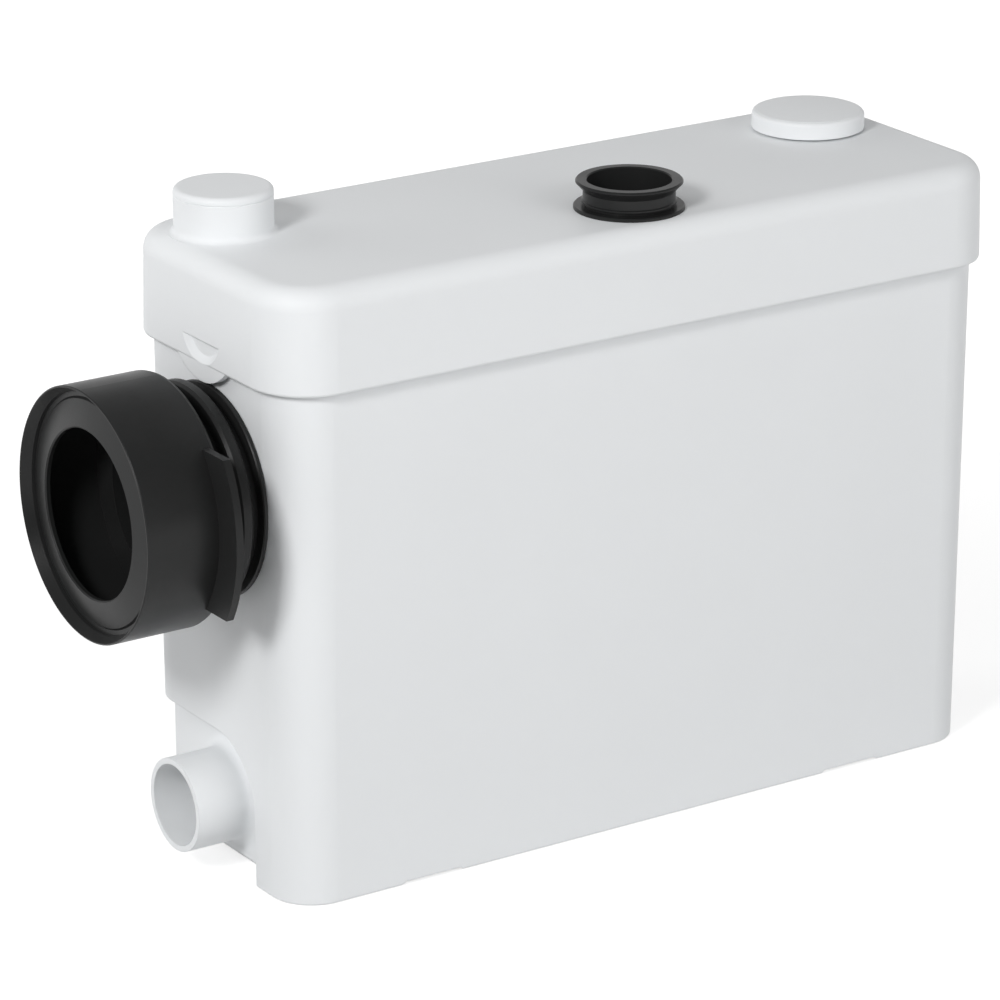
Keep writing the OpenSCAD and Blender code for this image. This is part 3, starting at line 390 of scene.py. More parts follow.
def moulded_skin():
    """Group: a mottled colour, an uneven gloss and a fine grain, as on moulded plastic or rubber."""
    if "Moulded Skin" in bpy.data.node_groups:
        return bpy.data.node_groups["Moulded Skin"]
    tree, given, result = new_group(
        "Moulded Skin",
        [("Colour", "NodeSocketColor"), ("Shade", "NodeSocketColor"), ("Mottle Scale", "NodeSocketFloat"),
         ("Grain Scale", "NodeSocketFloat"), ("Rough Low", "NodeSocketFloat"),
         ("Rough High", "NodeSocketFloat")],
        [("Colour", "NodeSocketColor"), ("Roughness", "NodeSocketFloat"), ("Height", "NodeSocketFloat")])
    pit_share = 0.6
    noise_low, noise_high = 0.3, 0.7
    place = add_node(tree, "ShaderNodeTexCoord")
    mottle = add_node(tree, "ShaderNodeTexNoise", Detail=4.0, Roughness=0.55)
    blend = add_node(tree, "ShaderNodeMix", data_type="RGBA")
    grain = add_node(tree, "ShaderNodeTexNoise", Detail=3.0, Roughness=0.6)
    pits = add_node(tree, "ShaderNodeTexVoronoi", feature="SMOOTH_F1")
    rise = add_node(tree, "ShaderNodeMath", operation="MULTIPLY_ADD")
    rise.inputs[1].default_value = pit_share
    gloss = add_node(tree, "ShaderNodeMapRange", From_Min=noise_low, From_Max=noise_high)
    link = tree.links.new
    link(place.outputs["Object"], mottle.inputs["Vector"])
    link(place.outputs["Object"], grain.inputs["Vector"])
    link(place.outputs["Object"], pits.inputs["Vector"])
    link(given.outputs["Mottle Scale"], mottle.inputs["Scale"])
    link(given.outputs["Grain Scale"], grain.inputs["Scale"])
    link(given.outputs["Grain Scale"], pits.inputs["Scale"])
    link(mottle.outputs["Fac"], blend.inputs["Factor"])
    link(given.outputs["Colour"], blend.inputs["A"])
    link(given.outputs["Shade"], blend.inputs["B"])
    link(mottle.outputs["Fac"], gloss.inputs["Value"])
    link(given.outputs["Rough Low"], gloss.inputs["To Min"])
    link(given.outputs["Rough High"], gloss.inputs["To Max"])
    link(pits.outputs["Distance"], rise.inputs[0])
    link(grain.outputs["Fac"], rise.inputs[2])
    link(blend.outputs["Result"], result.inputs["Colour"])
    link(gloss.outputs["Result"], result.inputs["Roughness"])
    link(rise.outputs["Value"], result.inputs["Height"])
    return tree


def handling_marks():
    """Group: a mask of fine rubbed streaks."""
    if "Handling Marks" in bpy.data.node_groups:
        return bpy.data.node_groups["Handling Marks"]
    tree, given, result = new_group(
        "Handling Marks", [("Scale", "NodeSocketFloat"), ("Amount", "NodeSocketFloat")],
        [("Mask", "NodeSocketFloat")])
    streak_low, streak_high = 0.58, 0.72
    place = add_node(tree, "ShaderNodeTexCoord")
    stretch = add_node(tree, "ShaderNodeMapping", Scale=(1.0, 1.0, 7.0), Rotation=(0.4, 0.3, 0.2))
    streak = add_node(tree, "ShaderNodeTexNoise", Detail=6.0, Roughness=0.7)
    sharpen = add_node(tree, "ShaderNodeMapRange", From_Min=streak_low, From_Max=streak_high)
    weight = add_node(tree, "ShaderNodeMath", operation="MULTIPLY")
    link = tree.links.new
    link(place.outputs["Object"], stretch.inputs["Vector"])
    link(stretch.outputs["Vector"], streak.inputs["Vector"])
    link(given.outputs["Scale"], streak.inputs["Scale"])
    link(streak.outputs["Fac"], sharpen.inputs["Value"])
    link(sharpen.outputs["Result"], weight.inputs[0])
    link(given.outputs["Amount"], weight.inputs[1])
    link(weight.outputs["Value"], result.inputs["Mask"])
    return tree


def start_material(name, strength, relief):
    """A new node material, its tree, its Principled shader and its Bump node, whose relief is in metres."""
    finish = bpy.data.materials.new(name)
    finish.use_nodes = True
    tree = finish.node_tree
    shader = tree.nodes["Principled BSDF"]
    bump = add_node(tree, "ShaderNodeBump", Strength=strength, Distance=relief)
    tree.links.new(bump.outputs["Normal"], shader.inputs["Normal"])
    return finish, tree, shader, bump


def moulded_material(name, colour, shade, rough, mottle, grain, relief, edge=0.0, marks=0.0,
                     mark_colour=None, **shader_values):
    """A moulded material: mottle and grain by their scales per metre, relief and edge radius in metres."""
    streaks_per_mottle = 3.0
    finish, tree, shader, bump = start_material(name, 1.0, relief)
    if edge:
        softened = add_node(tree, "ShaderNodeBevel", samples=4, Radius=edge)
        tree.links.new(softened.outputs["Normal"], bump.inputs["Normal"])
    for socket, value in shader_values.items():
        shader.inputs[socket.replace("_", " ")].default_value = value
    skin = use_group(tree, moulded_skin(), Colour=four(colour), Shade=four(shade), Mottle_Scale=mottle,
                     Grain_Scale=grain, Rough_Low=rough[0], Rough_High=rough[1])
    link = tree.links.new
    link(skin.outputs["Roughness"], shader.inputs["Roughness"])
    link(skin.outputs["Height"], bump.inputs["Height"])
    if marks:
        rubbed = use_group(tree, handling_marks(), Scale=mottle * streaks_per_mottle, Amount=marks)
        blend = add_node(tree, "ShaderNodeMix", data_type="RGBA")
        blend.inputs["B"].default_value = four(mark_colour)
        link(rubbed.outputs["Mask"], blend.inputs["Factor"])
        link(skin.outputs["Colour"], blend.inputs["A"])
        link(blend.outputs["Result"], shader.inputs["Base Color"])
    else:
        link(skin.outputs["Colour"], shader.inputs["Base Color"])
    return finish


def turned_steel(name, colour, centre):
    """Steel with fine turning lines round an upright axis at a centre in millimetres."""
    finish, tree, shader, bump = start_material(name, 0.35, 0.00004)
    shader.inputs["Metallic"].default_value = 1.0
    place = add_node(tree, "ShaderNodeTexCoord")
    middle = add_node(tree, "ShaderNodeMapping", Location=Vector(centre) * -MM)
    lines = add_node(tree, "ShaderNodeTexWave", wave_type="RINGS", rings_direction="Z", Scale=420.0,
                     Distortion=1.2, Detail=2.0)
    skin = use_group(tree, moulded_skin(), Colour=four(colour), Shade=four(scaled(colour, 0.8)),
                     Mottle_Scale=60.0, Grain_Scale=900.0, Rough_Low=0.22, Rough_High=0.38)
    link = tree.links.new
    link(place.outputs["Object"], middle.inputs["Vector"])
    link(middle.outputs["Vector"], lines.inputs["Vector"])
    link(skin.outputs["Colour"], shader.inputs["Base Color"])
    link(skin.outputs["Roughness"], shader.inputs["Roughness"])
    link(lines.outputs["Fac"], bump.inputs["Height"])
    return finish


def layered_material(name, colour, shade, layer_scale, metallic):
    """Stacked layers or wound turns: bands one above the other that tint and ridge the surface."""
    finish, tree, shader, bump = start_material(name, 0.6, 0.00025)
    shader.inputs["Metallic"].default_value = metallic
    place = add_node(tree, "ShaderNodeTexCoord")
    bands = add_node(tree, "ShaderNodeTexWave", wave_type="BANDS", bands_direction="Z", Scale=layer_scale,
                     Distortion=0.6, Detail=1.0)
    blend = add_node(tree, "ShaderNodeMix", data_type="RGBA")
    blend.inputs["A"].default_value = four(shade)
    blend.inputs["B"].default_value = four(colour)
    rubbed = use_group(tree, handling_marks(), Scale=90.0, Amount=0.25)
    gloss = add_node(tree, "ShaderNodeMapRange", To_Min=0.34, To_Max=0.6)
    link = tree.links.new
    link(place.outputs["Object"], bands.inputs["Vector"])
    link(bands.outputs["Fac"], blend.inputs["Factor"])
    link(bands.outputs["Fac"], bump.inputs["Height"])
    link(rubbed.outputs["Mask"], gloss.inputs["Value"])
    link(blend.outputs["Result"], shader.inputs["Base Color"])
    link(gloss.outputs["Result"], shader.inputs["Roughness"])
    return finish


def foam_material(name, colour):
    """Open carbon foam: rounded cells whose colour is a painted highlight at each cell's middle and painted
    shade towards the pores between them.
    """
    finish, tree, shader, bump = start_material(name, 1.0, 0.0009)
    place = add_node(tree, "ShaderNodeTexCoord")
    cells = add_node(tree, "ShaderNodeTexVoronoi", feature="F1", Scale=620.0)
    # painted light: the colour is three times lighter at each cell's middle and darkens, as painted shade,
    # towards the pores between cells
    blend = add_node(tree, "ShaderNodeMix", data_type="RGBA")
    blend.inputs["A"].default_value = four(scaled(colour, 3.0))
    blend.inputs["B"].default_value = four(colour)
    gloss = add_node(tree, "ShaderNodeMapRange", To_Min=0.75, To_Max=1.0)
    link = tree.links.new
    link(place.outputs["Object"], cells.inputs["Vector"])
    link(cells.outputs["Distance"], blend.inputs["Factor"])
    link(cells.outputs["Distance"], bump.inputs["Height"])
    link(cells.outputs["Distance"], gloss.inputs["Value"])
    link(blend.outputs["Result"], shader.inputs["Base Color"])
    link(gloss.outputs["Result"], shader.inputs["Roughness"])
    return finish


def finish_nodes(names, finish):
    """Gives CAD nodes one material."""
    for name in names:
        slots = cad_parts[name].data.materials
        slots.clear()
        slots.append(finish)


def kept(name, make):
    """A material by name, made once."""
    return bpy.data.materials.get(name) or make(name)


def rubber():
    looks = bpy.context.scene.pump_finish
    return kept("Moulded rubber", lambda name: moulded_material(
        name, looks.rubber_colour, looks.rubber_bloom, rough=(0.3, 0.4), mottle=38.0, grain=1500.0,
        relief=0.00002, Specular_IOR_Level=0.2))


def grey_plastic():
    looks = bpy.context.scene.pump_finish
    return kept("Matt grey plastic", lambda name: moulded_material(
        name, looks.grey_colour, scaled(looks.grey_colour, 0.88), rough=(0.42, 0.55), mottle=30.0,
        grain=1100.0, relief=0.00004, marks=0.3, mark_colour=scaled(looks.grey_colour, 1.25)))


def black_plastic():
    looks = bpy.context.scene.pump_finish
    return kept("Matt black plastic", lambda name: moulded_material(
        name, looks.black_colour, scaled(looks.black_colour, 1.5), rough=(0.4, 0.56), mottle=34.0,
        grain=900.0, relief=0.00006, marks=0.3, mark_colour=scaled(looks.black_colour, 3.0)))


def ivory_plastic():
    return kept("Ivory plastic", lambda name: moulded_material(
        name, (0.72, 0.7, 0.64), (0.66, 0.64, 0.58), rough=(0.38, 0.5), mottle=40.0, grain=1100.0,
        relief=0.00003))


def bare_steel():
    looks = bpy.context.scene.pump_finish
    low, high = node_box("shaft")
    return kept("Turned steel", lambda name: turned_steel(
        name, looks.steel_colour, ((low.x + high.x) / 2, (low.y + high.y) / 2, 0)))


# Operators

class PUMP_OT_white_shells(bpy.types.Operator):
    """Finish the tank, the lid and their caps in satin white"""

    bl_idname = "pump.white_shells"
    bl_label = "White Shells"

    def execute(self, context):
        looks = context.scene.pump_finish
        for name, nodes, edge in (("Satin white shell", SHELLS, looks.shell_edge),
                                  ("Satin white cap", CAPS, 0.0)):
            finish = moulded_material(
                name, looks.shell_colour, looks.shell_shade, rough=(0.5, 0.58), mottle=11.0, grain=1300.0,
                relief=0.000012, edge=edge, Coat_Weight=looks.shell_coat, Coat_Roughness=0.45,
                Specular_IOR_Level=0.4)
            finish_nodes(nodes, finish)
        return {"FINISHED"}


class PUMP_OT_rubber_pieces(bpy.types.Operator):
    """Finish the sleeves, seals, flaps and hose in moulded rubber"""

    bl_idname = "pump.rubber_pieces"
    bl_label = "Rubber Pieces"

    def execute(self, context):
        finish_nodes(RUBBERS, rubber())
        return {"FINISHED"}


class PUMP_OT_plastic_pieces(bpy.types.Operator):
    """Finish the pump's casing, valve, motor housing and switch in plastic"""

    bl_idname = "pump.plastic_pieces"
    bl_label = "Plastic Pieces"

    def execute(self, context):
        finish_nodes(GREY_PLASTICS, grey_plastic())
        finish_nodes(BLACK_PLASTICS, black_plastic())
        finish_nodes(["switch_plunger"], ivory_plastic())
        return {"FINISHED"}


class PUMP_OT_metal_pieces(bpy.types.Operator):
    """Finish the shaft, cutter, screws and pins in steel, and the motor's core and coils"""

    bl_idname = "pump.metal_pieces"
    bl_label = "Metal Pieces"

    def execute(self, context):
        looks = context.scene.pump_finish
        finish_nodes(STEELS, bare_steel())
        finish_nodes(LAMINATIONS, layered_material(
            "Stacked lamination", (0.3, 0.3, 0.31), (0.12, 0.12, 0.13), layer_scale=320.0, metallic=1.0))
        finish_nodes(["windings"], layered_material(
            "Enamelled wire", looks.copper_colour, scaled(looks.copper_colour, 0.4), layer_scale=260.0,
            metallic=0.6))
        return {"FINISHED"}


class PUMP_OT_vent_filter(bpy.types.Operator):
    """Finish the vent's filter as carbon foam"""

    bl_idname = "pump.vent_filter"
    bl_label = "Vent Filter"

    def execute(self, context):
        finish_nodes(["vent_filter"], foam_material("Carbon foam", (0.012, 0.012, 0.012)))
        return {"FINISHED"}


def band_clip(slots):
    """A worm-drive band clip on Z, with its screw along Y at +X."""
    width = CLIP_WIDTH
    inner = HOSE_RADIUS
    outer = inner + 1.2
    soft = 0.2
    margin = 1.8
    steps = 96
    band = turned("band", [
        (inner, soft), (inner + soft, 0), (outer - soft, 0), (outer, soft), (outer, margin),
        (outer, width - margin), (outer, width - soft), (outer - soft, width), (inner + soft, width),
        (inner, width - soft)], steps)
    open_edit(band, "FACE")
    first = math.radians(100)
    pitch = TURN / steps

    def in_slot(face):
        middle = face.calc_center_median()
        angle, radius = angle_and_radius(middle)
        row = int((angle - first) / pitch)
        wall = abs(face.normal.z) < 0.1 and radius > (outer - 0.1) * MM
        halfway = abs(middle.z - width / 2 * MM) < 0.5 * MM
        return wall and halfway and angle > first and row % 2 == 0 and row < 2 * slots

    pick(band, "faces", in_slot)
    bpy.ops.mesh.inset(thickness=0.12 * MM, use_individual=True)
    push_faces(-0.4)
    close_edit(band)

    housing = block("housing", (outer - 0.4, -6, 0.6), (outer + 4.6, 6, width - 0.6),
                    soft=1.6, segments=4, which=crosswise)
    head_z = 10
    screw = turned("screw", [
        (0, -9), (2.2, -9), (2.6, -8.4), (2.6, 7.2), (3.6, 7.2), (3.9, 7.6), (3.9, 10.2), (3.5, 10.8),
        (0.8, 10.8), (0, 10.8)], 24)
    open_edit(screw, "FACE")

    def in_groove(face):
        middle = face.calc_center_median()
        return faces_up(face) and abs(middle.x) < 0.9 * MM and middle.z > head_z * MM

    pick(screw, "faces", in_groove)
    cut_down(1.2)
    close_edit(screw)
    screw.data.transform(moved(outer + 2.2, 0, width / 2) @ turn(-90, "X"))
    return joined("band_clip", [band, housing, screw])


class PUMP_OT_hose_clips(bpy.types.Operator):
    """Model the two band clips of the discharge hose"""

    bl_idname = "pump.hose_clips"
    bl_label = "Hose Clips"

    def execute(self, context):
        upper = band_clip(context.scene.pump_detail.clip_slots)
        at_end = moved(*HOSE_END) @ turn(HOSE_FALL - 90, "Y") @ moved(0, 0, CLIP_INSET) @ turn(-90, "Z")
        lower = copied(upper, "lower_clip", at_end)
        at_top = moved(HOSE_TOP.x, HOSE_TOP.y, HOSE_TOP.z - CLIP_INSET - CLIP_WIDTH) @ turn(-90, "Z")
        upper.data.transform(at_top)
        clips = joined("hose_band_clips", [upper, lower])
        hand_over(clips, "base", bare_steel(), "hose_clips")
        return {"FINISHED"}


class PUMP_OT_cable_gland(bpy.types.Operator):
    """Model the empty cable gland on the back wall"""

    bl_idname = "pump.cable_gland"
    bl_label = "Cable Gland"

    def execute(self, context):
        low, high = node_box("cable_gland")
        flange = 3.6
        wall = 5.2
        lock = 5.0
        across = high.z - low.z
        seat = high.y - flange
        bore_r = 4
        thread_r = 8
        rim_r = 11.2
        steps_per_rib = 4
        steps = steps_per_rib * context.scene.pump_detail.gland_ribs
        nut = turned("nut", [
            (bore_r, -wall - lock), (7.2, -wall - lock), (thread_r, -wall), (thread_r, 0), (10.6, 0),
            (rim_r, 0.5), (rim_r, 1.6), (10.2, 2.1), (8.6, 3.1), (6.6, 3.55), (5.2, 3.4), (4.6, 2.6),
            (bore_r, 2.2)], steps)
        open_edit(nut, "FACE")

        def on_rib(face):
            angle, radius = angle_and_radius(face.calc_center_median())
            step = int(angle / TURN * steps)
            rim = abs(face.normal.z) < 0.2 and radius > (rim_r - 0.2) * MM
            return rim and step % steps_per_rib in (0, 1)

        pick(nut, "faces", on_rib)
        push_faces(0.3)
        close_edit(nut)
        locknut = turned("locknut", [
            (thread_r, -wall - lock), (across / 2 - 0.8, -wall - lock), (across / 2, -wall - lock + 0.8),
            (across / 2, -wall - 0.4), (across / 2 - 0.4, -wall), (thread_r, -wall)], 6)
        to_wall = moved((low.x + high.x) / 2, seat, (low.z + high.z) / 2) @ turn(-90, "X")
        gland = joined("gland_body", [nut, locknut])
        gland.data.transform(to_wall)
        hand_over(gland, "base", black_plastic(), "cable_gland")
        bush = turned("gland_bush", [
            (2.6, -wall), (bore_r, -wall), (bore_r, 1.6), (4.5, 2.4), (4.4, 3.0), (3.6, 3.2), (2.9, 2.8),
            (2.6, 2.2)])
        bush.data.transform(to_wall)
        hand_over(bush, "base", rubber())
        return {"FINISHED"}


class PUMP_OT_capacitor(bpy.types.Operator):
    """Model the motor's capacitor: a can with a rolled groove, a cap and two spade tabs"""

    bl_idname = "pump.capacitor"
    bl_label = "Capacitor"

    def execute(self, context):
        low, high = node_box("capacitor")
        radius = (high.x - low.x) / 2
        tall = high.z - low.z
        rim = tall - 6.5
        groove = context.scene.pump_detail.can_groove / MM
        stand = moved((low.x + high.x) / 2, (low.y + high.y) / 2, low.z)
        can = turned("capacitor_can", [
            (0, 0), (radius - 2, 0), (radius - 0.6, 0.5), (radius, 1.9), (radius, rim - 6.4),
            (radius - groove * 0.7, rim - 6), (radius - groove, rim - 5.4),
            (radius - groove * 0.7, rim - 4.8), (radius, rim - 4.4), (radius, rim - 0.6), (radius - 0.4, rim),
            (radius - 1, rim), (radius - 1.4, rim - 0.5), (radius - 1.4, rim - 1.6), (0, rim - 1.6)])
        can.data.transform(stand)
        hand_over(can, "base", ivory_plastic(), "capacitor")
        cap = turned("capacitor_cap", [
            (0, rim - 1.6), (radius - 1.4, rim - 1.6), (radius - 1.6, rim - 0.4), (radius - 3, rim - 0.2),
            (radius - 4, rim - 0.8), (5, rim - 0.8), (4.6, rim), (0, rim)])
        cap.data.transform(stand)
        hand_over(cap, "base", black_plastic())
        half_w = 3.15
        half_t = 0.4
        tabs = []
        for y in (-8, 8):
            tabs.append(block(
                "tab", (-half_w, y - half_t, rim - 1), (half_w, y + half_t, tall - 0.2), soft=0.9,
                which=lambda edge: crosswise(edge) and edge.verts[0].co.z > (tall - 2) * MM))
        blades = joined("capacitor_tabs", tabs)
        blades.data.transform(stand)
        hand_over(blades, "base", bare_steel())
        return {"FINISHED"}


class PUMP_OT_terminal_box(bpy.types.Operator):
    """Model the terminal box on the motor, with its screwed cover and cable bushes"""

    bl_idname = "pump.terminal_box"
    bl_label = "Terminal Box"

    def execute(self, context):
        low, high = node_box("terminal_box")
        lip = 1.2
        cover_z = high.z - 3.0
        sunk = 0.7
        corner = context.scene.pump_detail.box_corner / MM
        base = block("box_base", (low.x + lip, low.y + lip, low.z), (high.x - lip, high.y - lip, cover_z),
                     soft=corner, segments=6, which=upright)
        cover = block("box_cover", (low.x, low.y, cover_z), high,
                      soft=corner + lip, segments=6, which=upright)
        step_top(cover, rim=0.8, rise=-sunk)
        panel_in = 8.6
        panel_rise = 0.1
        panel = block("box_panel", (low.x + panel_in, low.y + panel_in, cover_z + 0.5),
                      (high.x - panel_in, high.y - panel_in, high.z - panel_rise),
                      soft=2.5, segments=6, which=upright)
        step_top(panel, rim=0.6, rise=panel_rise)
        box = joined("terminal_box_case", [base, cover, panel])
        hand_over(box, "base", grey_plastic(), "terminal_box")
        screw = turned("screw", [
            (0, -0.6), (2.4, -0.6), (2.4, -0.1), (2.1, 0.12), (0.5, 0.17), (0, 0.18)], 24)
        open_edit(screw, "FACE")

        def in_cross(face):
            middle = face.calc_center_median()
            arm = min(abs(middle.x), abs(middle.y)) < 0.35 * MM
            return arm and faces_up(face) and middle.z > -0.05 * MM

        pick(screw, "faces", in_cross)
        cut_down(0.5)
        close_edit(screw)
        screw_in = 4.6
        corners = [(x, y) for x in (low.x + screw_in, high.x - screw_in)
                   for y in (low.y + screw_in, high.y - screw_in)]
        heads = repeated(screw, [moved(x, y, high.z - sunk) for x, y in corners])
        hand_over(joined("terminal_box_screws", heads), "base", bare_steel())
        bush = turned("bush", [
            (2.4, -1), (6, -1), (6, 1.4), (5.4, 2), (4.6, 2), (4, 5.6), (3.6, 6), (2.8, 6), (2.4, 5.6)], 40)
        bush_in = 12
        bush_z = low.z + 11
        bushes = repeated(bush, [moved(x, low.y + lip, bush_z) @ turn(90, "X")
                                 for x in (low.x + bush_in, high.x - bush_in)])
        hand_over(joined("terminal_box_bushes", bushes), "base", rubber())
        return {"FINISHED"}


class PUMP_OT_micro_switch(bpy.types.Operator):
    """Model the micro switch over the pressure switch's plunger"""

    bl_idname = "pump.micro_switch"
    bl_label = "Micro Switch"

    def execute(self, context):
        low, high = node_box("micro_switch")
        case_x = high.x - 8.0
        case = block("switch_case", (case_x, low.y, low.z), high, soft=0.7)
        rim = turned("rim", [(1.2, -0.4), (2.4, -0.4), (2.4, 0.15), (2.1, 0.3), (1.2, 0.3)], 32)
        rim_in = 4.2
        rims = repeated(rim, [moved((case_x + high.x) / 2, y, high.z - 0.3)
                              for y in (low.y + rim_in, high.y - rim_in)])
        hand_over(joined("micro_switch_case", [case] + rims), "base", black_plastic(),
                  "micro_switch")
        middle = (low.y + high.y) / 2
        half_w = 2.5
        lever = block(
            "lever", (low.x, middle - half_w, high.z - 0.8), (case_x + 1, middle + half_w, high.z - 0.2),
            soft=1.6, segments=4, which=lambda edge: upright(edge) and edge.verts[0].co.x < (low.x + 1) * MM)
        tab_half_w = 1.6
        tabs = []
        for y in (middle - 6, middle, middle + 6):
            tabs.append(block(
                "tab", (high.x - 1, y - tab_half_w, low.z + 2.6), (high.x + 5, y + tab_half_w, low.z + 3.1),
                soft=0.8, which=lambda edge: upright(edge) and edge.verts[0].co.x > (high.x + 4) * MM))
        hand_over(joined("micro_switch_blades", [lever] + tabs), "base", bare_steel())
        return {"FINISHED"}


# Stage

def soft_lamp(name, power, size, direction, mirrored):
    """A square lamp that faces the pump from a direction and may be seen in reflections."""
    lamp = bpy.data.lights.new(name, "AREA")
    lamp.energy = power
    lamp.shape = "SQUARE"
    lamp.size = size
    holder = bpy.data.objects.new(name, lamp)
    away = Vector(direction).normalized()
    holder.location = PUMP_MIDDLE + away * LAMP_DISTANCE
    holder.rotation_mode = "QUATERNION"
    holder.rotation_quaternion = (-away).to_track_quat("-Z", "Y")
    holder.visible_glossy = mirrored
    bpy.context.scene.collection.objects.link(holder)


def fading(tree, start, end, last):
    """A smooth change from one to a last value while the input goes from a start to an end."""
    return add_node(tree, "ShaderNodeMapRange", interpolation_type="SMOOTHSTEP", From_Min=start, From_Max=end,
                    To_Min=1.0, To_Max=last)


def white_world(level, zenith, front):
    """Surroundings: white to the camera, softer as light, dimmer above and in front in reflections."""
    world = bpy.data.worlds.new("White surroundings")
    world.use_nodes = True
    tree = world.node_tree
    back = tree.nodes["Background"]
    back.inputs["Color"].default_value = (1, 1, 1, 1)
    path = add_node(tree, "ShaderNodeLightPath")
    place = add_node(tree, "ShaderNodeTexCoord")
    split = add_node(tree, "ShaderNodeSeparateXYZ")
    start, high_end, front_end = 0.1, 0.7, -0.6
    upward = fading(tree, start, high_end, zenith)
    forward = fading(tree, start, front_end, front)
    both = add_node(tree, "ShaderNodeMath", operation="MULTIPLY")
    mirrored = add_node(tree, "ShaderNodeMix", data_type="FLOAT", A=level)
    seen = add_node(tree, "ShaderNodeMath", operation="MAXIMUM")
    strength = add_node(tree, "ShaderNodeMix", data_type="FLOAT", B=1.0)
    link = tree.links.new
    link(place.outputs["Generated"], split.inputs["Vector"])
    link(split.outputs["Z"], upward.inputs["Value"])
    link(split.outputs["Y"], forward.inputs["Value"])
    link(upward.outputs["Result"], both.inputs[0])
    link(forward.outputs["Result"], both.inputs[1])
    link(path.outputs["Is Glossy Ray"], mirrored.inputs["Factor"])
    link(both.outputs["Value"], mirrored.inputs["B"])
    link(path.outputs["Is Camera Ray"], seen.inputs[0])
    link(path.outputs["Is Transmission Ray"], seen.inputs[1])
    link(seen.outputs["Value"], strength.inputs["Factor"])
    link(mirrored.outputs["Result"], strength.inputs["A"])
    link(strength.outputs["Result"], back.inputs["Strength"])
    bpy.context.scene.world = world


def floor_material(colour, glow, far_glow):
    """Pale floor that the camera and the reflections see as white outside the pump's shadow."""
    finish = bpy.data.materials.new("Pale floor")
    finish.use_nodes = True
    tree = finish.node_tree
    tree.nodes.remove(tree.nodes["Principled BSDF"])
    matt = add_node(tree, "ShaderNodeBsdfDiffuse", Color=four(colour))
    lamp = add_node(tree, "ShaderNodeEmission", Color=(1, 1, 1, 1))
    both = add_node(tree, "ShaderNodeAddShader")
    path = add_node(tree, "ShaderNodeLightPath")
    seen = add_node(tree, "ShaderNodeMath", operation="MAXIMUM")
    mirrored = add_node(tree, "ShaderNodeMath", operation="MAXIMUM")
    place = add_node(tree, "ShaderNodeTexCoord")
    reach = add_node(tree, "ShaderNodeVectorMath", operation="LENGTH")
    near_edge, far_edge = 0.25, 0.9
    spread = fading(tree, near_edge, far_edge, far_glow / glow)
    level = add_node(tree, "ShaderNodeMath", operation="MULTIPLY")
    level.inputs[1].default_value = glow
    lift = add_node(tree, "ShaderNodeMath", operation="MULTIPLY")
    link = tree.links.new
    link(place.outputs["Object"], reach.inputs[0])
    link(reach.outputs["Value"], spread.inputs["Value"])
    link(spread.outputs["Result"], level.inputs[0])
    link(level.outputs["Value"], lift.inputs[1])
    link(path.outputs["Is Camera Ray"], seen.inputs[0])
    link(path.outputs["Is Transmission Ray"], seen.inputs[1])
    link(seen.outputs["Value"], mirrored.inputs[0])
    link(path.outputs["Is Glossy Ray"], mirrored.inputs[1])
    link(mirrored.outputs["Value"], lift.inputs[0])
    link(lift.outputs["Value"], lamp.inputs["Strength"])
    link(matt.outputs["BSDF"], both.inputs[0])
    link(lamp.outputs["Emission"], both.inputs[1])
    link(both.outputs["Shader"], tree.nodes["Material Output"].inputs["Surface"])
    return finish


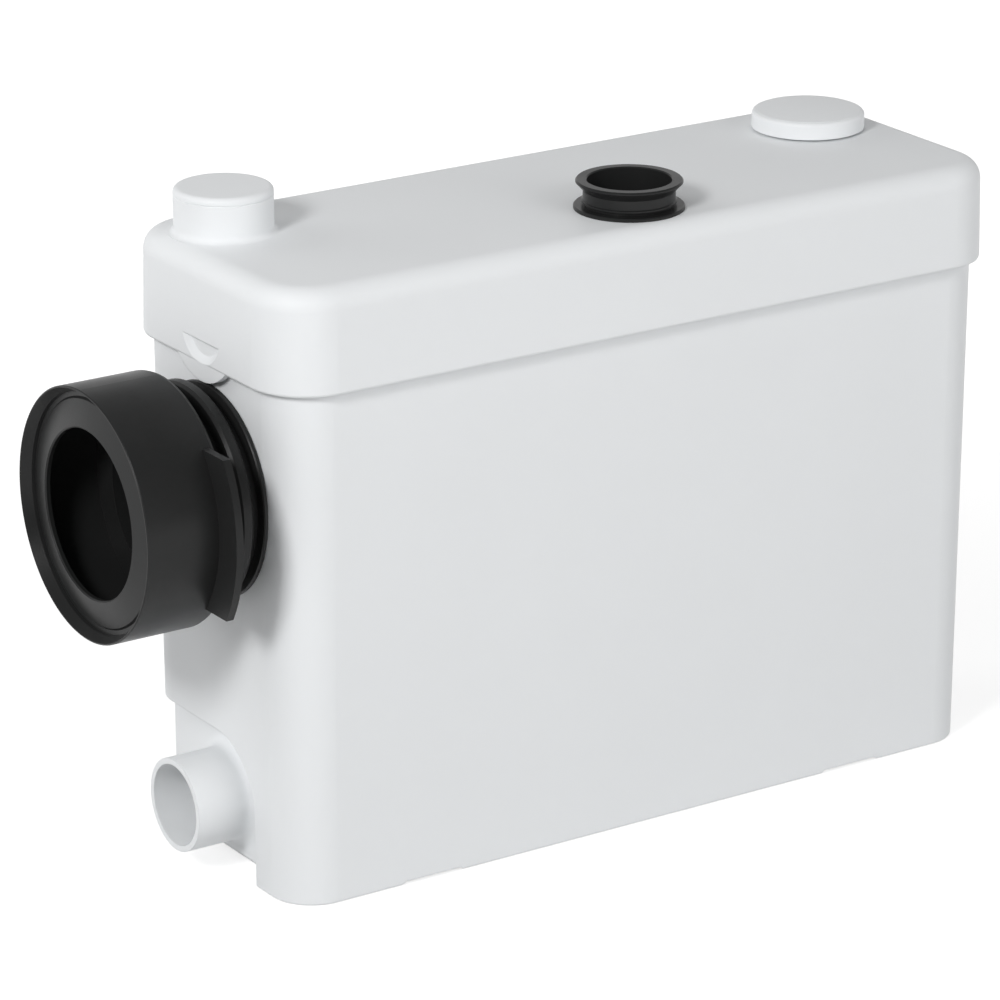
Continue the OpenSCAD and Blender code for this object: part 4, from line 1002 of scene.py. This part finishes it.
class PUMP_OT_stage(bpy.types.Operator):
    """Set up the floor, the light and the camera"""

    bl_idname = "pump.stage"
    bl_label = "Stage"

    def execute(self, context):
        scene = context.scene
        setting = scene.pump_stage
        clear_selection()
        bpy.ops.mesh.primitive_plane_add(size=FLOOR_SIZE, location=(0, 0, FLOOR_HEIGHT))
        floor = context.object
        floor.name = "floor"
        finish = floor_material(setting.floor_colour, setting.floor_glow, setting.far_glow)
        floor.data.materials.append(finish)
        for name, power, size, direction, mirrored in LAMPS:
            soft_lamp(name, getattr(setting, power), size, direction, mirrored)
        white_world(setting.sky_level, setting.zenith_level, setting.front_level)
        lens = bpy.data.cameras.new("Camera")
        lens.lens = setting.lens
        lens.sensor_width = 36
        lens.clip_end = 30
        camera = bpy.data.objects.new("Camera", lens)
        facing = Matrix((CAMERA_RIGHT, CAMERA_UP, CAMERA_BACK)).transposed().to_4x4()
        camera.matrix_world = Matrix.Translation(CAMERA_PLACE) @ facing
        scene.collection.objects.link(camera)
        scene.camera = camera
        scene.view_settings.view_transform = "Standard"
        return {"FINISHED"}


OPERATORS = [
    PUMP_OT_white_shells, PUMP_OT_rubber_pieces, PUMP_OT_plastic_pieces, PUMP_OT_metal_pieces,
    PUMP_OT_vent_filter, PUMP_OT_hose_clips, PUMP_OT_cable_gland, PUMP_OT_capacitor, PUMP_OT_terminal_box,
    PUMP_OT_micro_switch, PUMP_OT_stage,
]


class PUMP_PT_looks(bpy.types.Panel):
    """Lists the pump's operators and settings"""

    bl_label = "Macerator Pump"
    bl_idname = "PUMP_PT_looks"
    bl_space_type = "VIEW_3D"
    bl_region_type = "UI"
    bl_category = "Pump"

    def draw(self, context):
        for operator in OPERATORS:
            self.layout.operator(operator.bl_idname)
        for group in (context.scene.pump_finish, context.scene.pump_detail, context.scene.pump_stage):
            box = self.layout.box()
            for name in group.__annotations__:
                box.prop(group, name)


SETTINGS = {"pump_finish": PumpFinish, "pump_detail": PumpDetail, "pump_stage": PumpStage}


def register():
    for group in SETTINGS.values():
        bpy.utils.register_class(group)
    for operator in OPERATORS:
        bpy.utils.register_class(operator)
    bpy.utils.register_class(PUMP_PT_looks)
    for name, group in SETTINGS.items():
        setattr(bpy.types.Scene, name, bpy.props.PointerProperty(type=group))


def unregister():
    for name in SETTINGS:
        delattr(bpy.types.Scene, name)
    bpy.utils.unregister_class(PUMP_PT_looks)
    for operator in reversed(OPERATORS):
        bpy.utils.unregister_class(operator)
    for group in reversed(list(SETTINGS.values())):
        bpy.utils.unregister_class(group)


def main():
    register()
    for operator in OPERATORS:
        family, name = operator.bl_idname.split(".")
        getattr(getattr(bpy.ops, family), name)()


if __name__ == "__main__":
    main()
